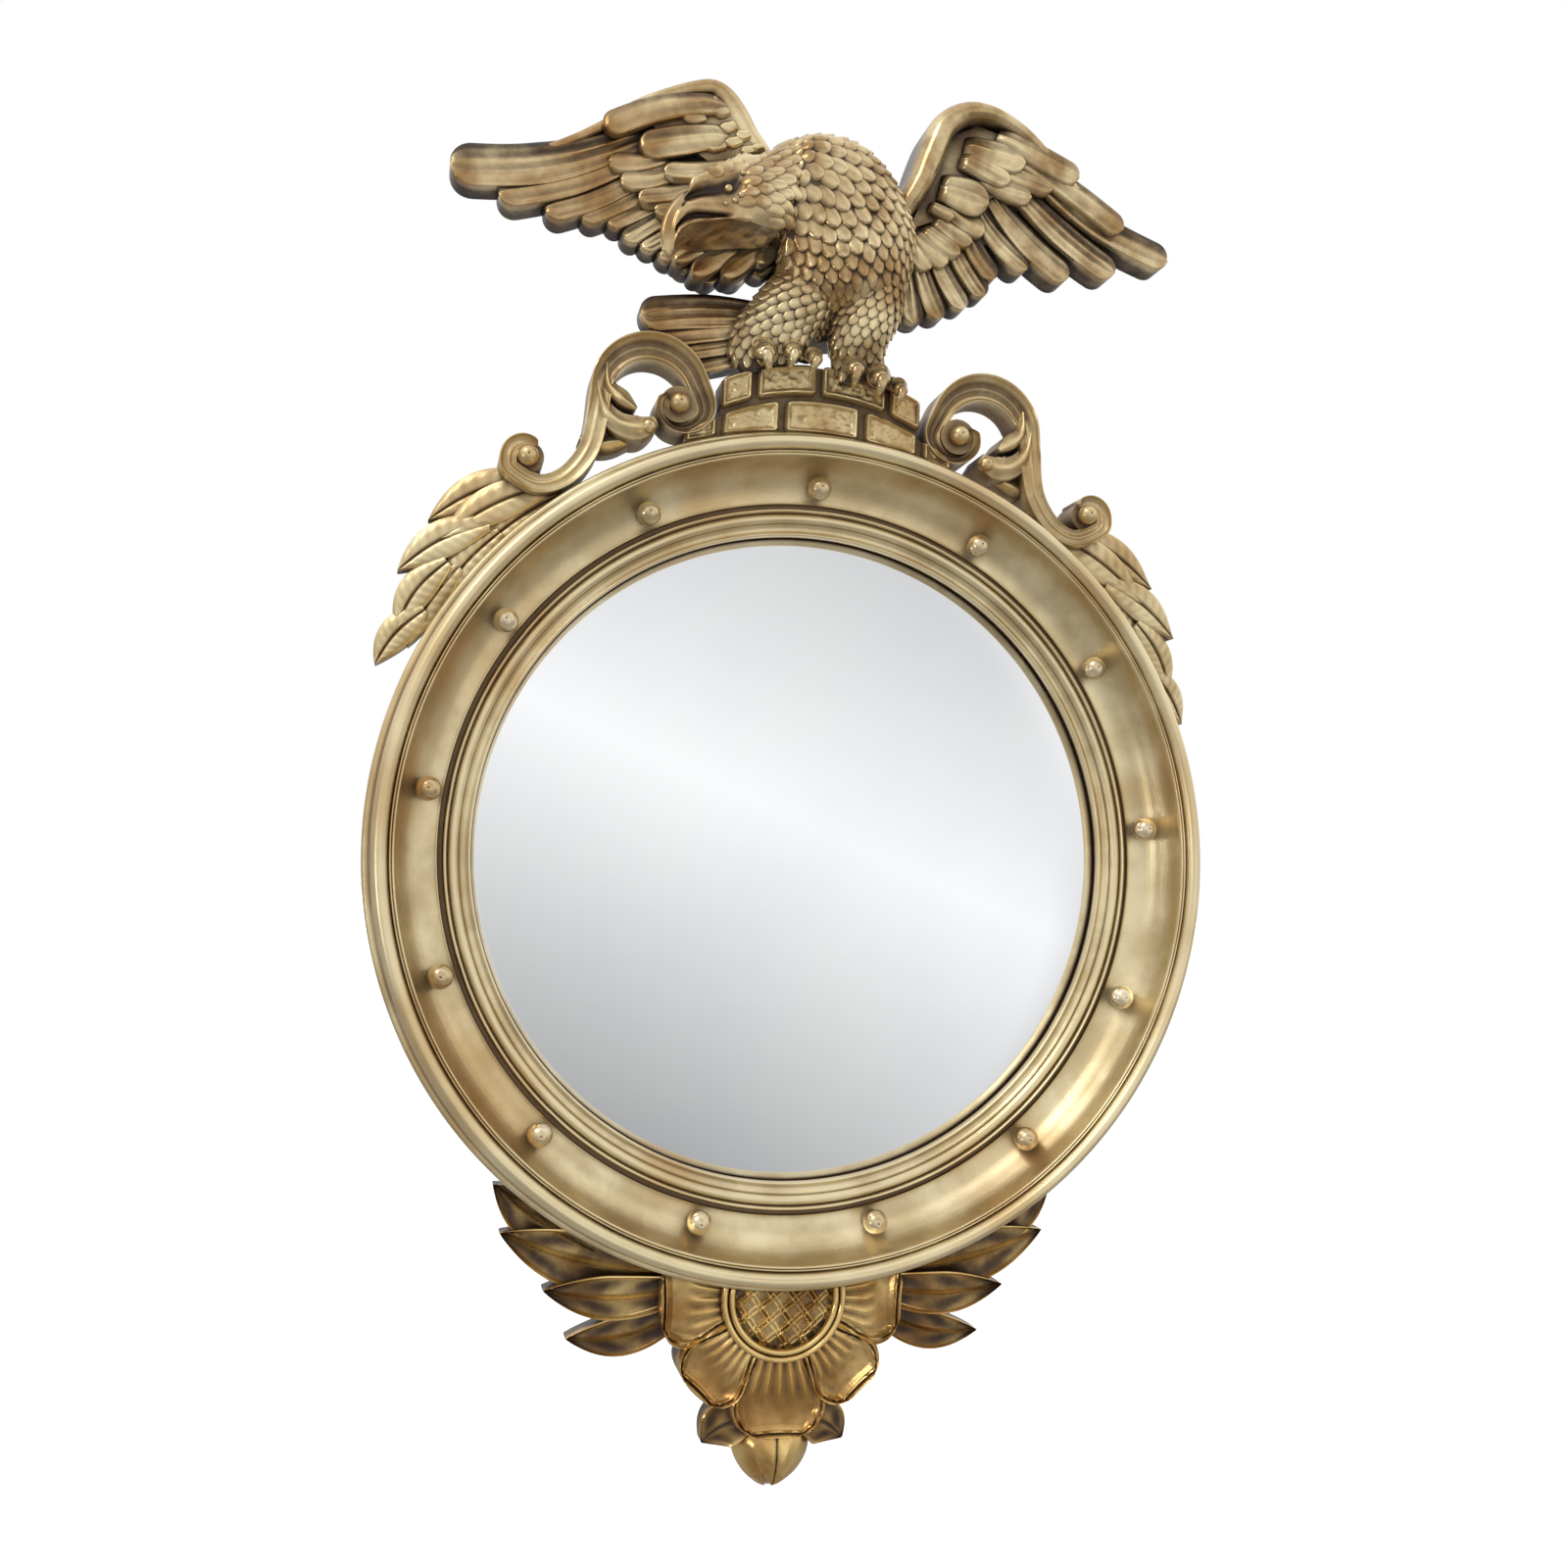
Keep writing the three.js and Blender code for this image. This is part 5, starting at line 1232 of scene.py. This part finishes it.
pressed(boss).made("basket_weave_boss", pendant_gilt, ["flower_boss"], "pendant_gilt", crease=50)

# 16. Pendant leaves
# Four pointed leaves reach out from behind the flower on each side. Their halves are hollowed between a
# raised rib and raised edges, so each shows three bright lines, partly painted highlight, with painted
# shade in the hollows and on their cut sides.

hanging_leaves = [
    (-100, -212, -154, -177.5, 24, 3, 15), (-50, -222, -149.5, -202, 30, 6, 16.5),
    (-48, -238, -113, -256, 21, 7, 17), (-46, -229, -126, -231, 23, 5, 19)]
leaves_back = relief_back + 0.3
for side, sign in both_sides:
    hanging = leaves(hanging_leaves, 1.5, leaves_back, 1, veins=3.0, widest=0.55, hollow=2.6, rib=1.4,
                     upper=-0.5)
    pressed(hanging, sign).made(f"acanthus_leaves_{side}", pendant_gilt, [f"pendant_leaves_{side}"],
                                "pendant_gilt", crease=44)

# 17. Bud
# The bud closes the pendant: an egg with a cupped shell on each side and a pointed sepal down its middle,
# between two sepals that turn outwards.

bud = Carving()
bud_top, bud_length, bud_back = -292.0, 44.6, relief_back + 0.5
share, size = np.array([(0.0, 0.5), (0.16, 0.86), (0.36, 1.0), (0.58, 0.98), (0.78, 0.76), (0.92, 0.44),
                        (0.985, 0.2), (1.0, 0.04)]).T
zero = 0 * share
bud_flank = Flank(np.stack([zero, zero - bud_back, bud_top - bud_length * share], -1),
                  np.stack([20.6 * size, zero, zero], -1),
                  np.stack([zero, -20.5 * size ** 0.8 * np.minimum(0.45 + 1.3 * share, 1.0), zero], -1))
bud_flank.block(bud, bud_back, 60, 48, high=0.55)


def sepal(along, turn, lift, relief):
    """A thin leaf that hugs the bud."""
    place, _, _, out = bud_flank.frame(along, turn)
    bud.skin(np.concatenate([place + out * lift[..., None], (place - out * 1.0)[:, ::-1]], 1),
             np.concatenate([np.clip(relief, 0, 1), 0 * turn + 0.1], 1))


t, s = np.linspace(0, 1, 40)[:, None], np.linspace(-1, 1, 17)[None, :]
for sign in (-1, 1):
    turn = 90 + sign * (58 - 22 * t ** 2 + s * 30 * np.sin(math.pi * (0.12 + 0.86 * t)) ** 0.7)
    sepal(6.4 * t + 0 * s, turn, 1.7 - 1.2 * s ** 4 - 0.8 * (1 - s ** 2) + 0 * t,
          0.6 + 0.4 * s ** 4 + 0 * t)
t, s = np.linspace(0, 1, 60)[:, None], np.linspace(-1, 1, 25)[None, :]
spread = 44 * np.cos(math.pi / 2 * t) ** 0.8 + 0.6
vein = bump_at(s, 0, 0.07) * np.clip((t - 0.15) / 0.2, 0, 1)
sepal(0.2 + 4.6 * t + 0 * s, 90 + s * spread,
      2.6 - 0.8 * s ** 4 - 1.1 * vein + 0.35 * np.sin(np.abs(s) * 9 + t * 9) * (1 - t),
      0.75 + 0.2 * s ** 6 - 0.7 * vein)
for sign in (-1, 1):
    leaf(bud, (sign * 12, -299), (sign * 38.5, -311.5), 25, sign * 3.5, (20, 13.5), bud_back, veins=2.0,
         widest=0.5, hollow=1.6, rib=-1.0)
bud.made("pendant_bud_carved", pendant_gilt, ["pendant_bud"], "pendant_gilt", crease=46)

# 18. Sawtooth hanger
# A zinc-plated sawtooth hanger is nailed to the back of the plinth. Its teeth hang on one picture nail.

for node in ("sawtooth_hanger", "hanger_nail_1", "hanger_nail_2"):
    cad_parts[node].material_slots[0].material = plated

# 19. Floor, light and camera
# The mirror hangs free over a plain pale floor. Its light is a wide soft front, as bright windows behind
# the camera give, with a large soft lamp from the upper left and a small one from the left.

floor_level, floor_reach = -0.47, 60
floor_mesh = bpy.data.meshes.new("studio_floor")
floor_mesh.from_pydata([(x * floor_reach, y * floor_reach, floor_level)
                        for x, y in ((-1, -1), (1, -1), (1, 1), (-1, 1))], [], [(0, 1, 2, 3)])
floor = bpy.data.objects.new("studio_floor", floor_mesh)
bpy.context.collection.objects.link(floor)
pale, shader = finish("studio_floor_paint")
lay(shader, Base_Color=colour(250, 250, 250), Roughness=0.95, Emission_Color=(1.0, 1.0, 1.0, 1.0),
    Emission_Strength=0.35)
floor_mesh.materials.append(pale)
floor.visible_glossy = False

world = bpy.data.worlds.new("studio_light")
bpy.context.scene.world = world
world.use_nodes = True
Tone.tree = world.node_tree
window_lean, window_middle = 0.395, 0.185
x, y, z = place_on("Generated").parts()
height = z + x * window_lean - window_middle
rising = Tone.node("Math", {0: height, 1: 0.0}, operation="MAXIMUM")
falling = Tone.node("Math", {0: height, 1: 0.0}, operation="MINIMUM")
window = 1.0 - rising * 0.56 + falling * 0.735
facing = (0.0 - y).between(0.52, 0.7)
sky = (z + x * 0.15).between(-0.25, 0.45)
ahead = facing * window * 1.045 + (1.0 - facing) * (sky * 0.72 + 0.38)
seen = Tone.node("LightPath", out="Is Camera Ray")
lay(world.node_tree.nodes["Background"], Color=(1.0, 1.0, 1.0, 1.0), Strength=seen + (1.0 - seen) * ahead)


lamp_aim = (0.0, 0.0, 0.1)


def aimed(place, target):
    """The turn that points a lamp or the camera from a place at a target."""
    return (Vector(target) - Vector(place)).to_track_quat("-Z", "Y")


def lamp(name, place, size, power, tint):
    """A round soft lamp that the camera doesn't see."""
    data = bpy.data.lights.new(name, "AREA")
    data.shape = "DISK"
    data.size = size
    data.energy = power
    data.color = tint
    light = bpy.data.objects.new(name, data)
    light.location = place
    light.rotation_euler = aimed(place, lamp_aim).to_euler()
    light.visible_camera = False
    bpy.context.collection.objects.link(light)


lamp("lamp_upper_left", (-1.6, -1.5, 2.2), 1.3, 17.0, (1.0, 0.98, 0.95))
lamp("lamp_left", (-2.3, -1.25, -0.3), 0.4, 5.0, (1.0, 0.96, 0.9))

camera_data = bpy.data.cameras.new("photo_camera")
camera_data.lens = 35.44
camera_data.sensor_width = 36.0
camera = bpy.data.objects.new("photo_camera", camera_data)
camera_place, camera_aim = (-0.20269, -0.83420, -0.02151), (-0.00607, 0.0, 0.03950)
camera_roll = Matrix.Rotation(math.radians(2.526), 3, "Z")
camera.location = camera_place
camera.rotation_euler = (aimed(camera_place, camera_aim).to_matrix() @ camera_roll).to_euler()
bpy.context.collection.objects.link(camera)
bpy.context.scene.camera = camera
bpy.context.scene.view_settings.view_transform = "Standard"
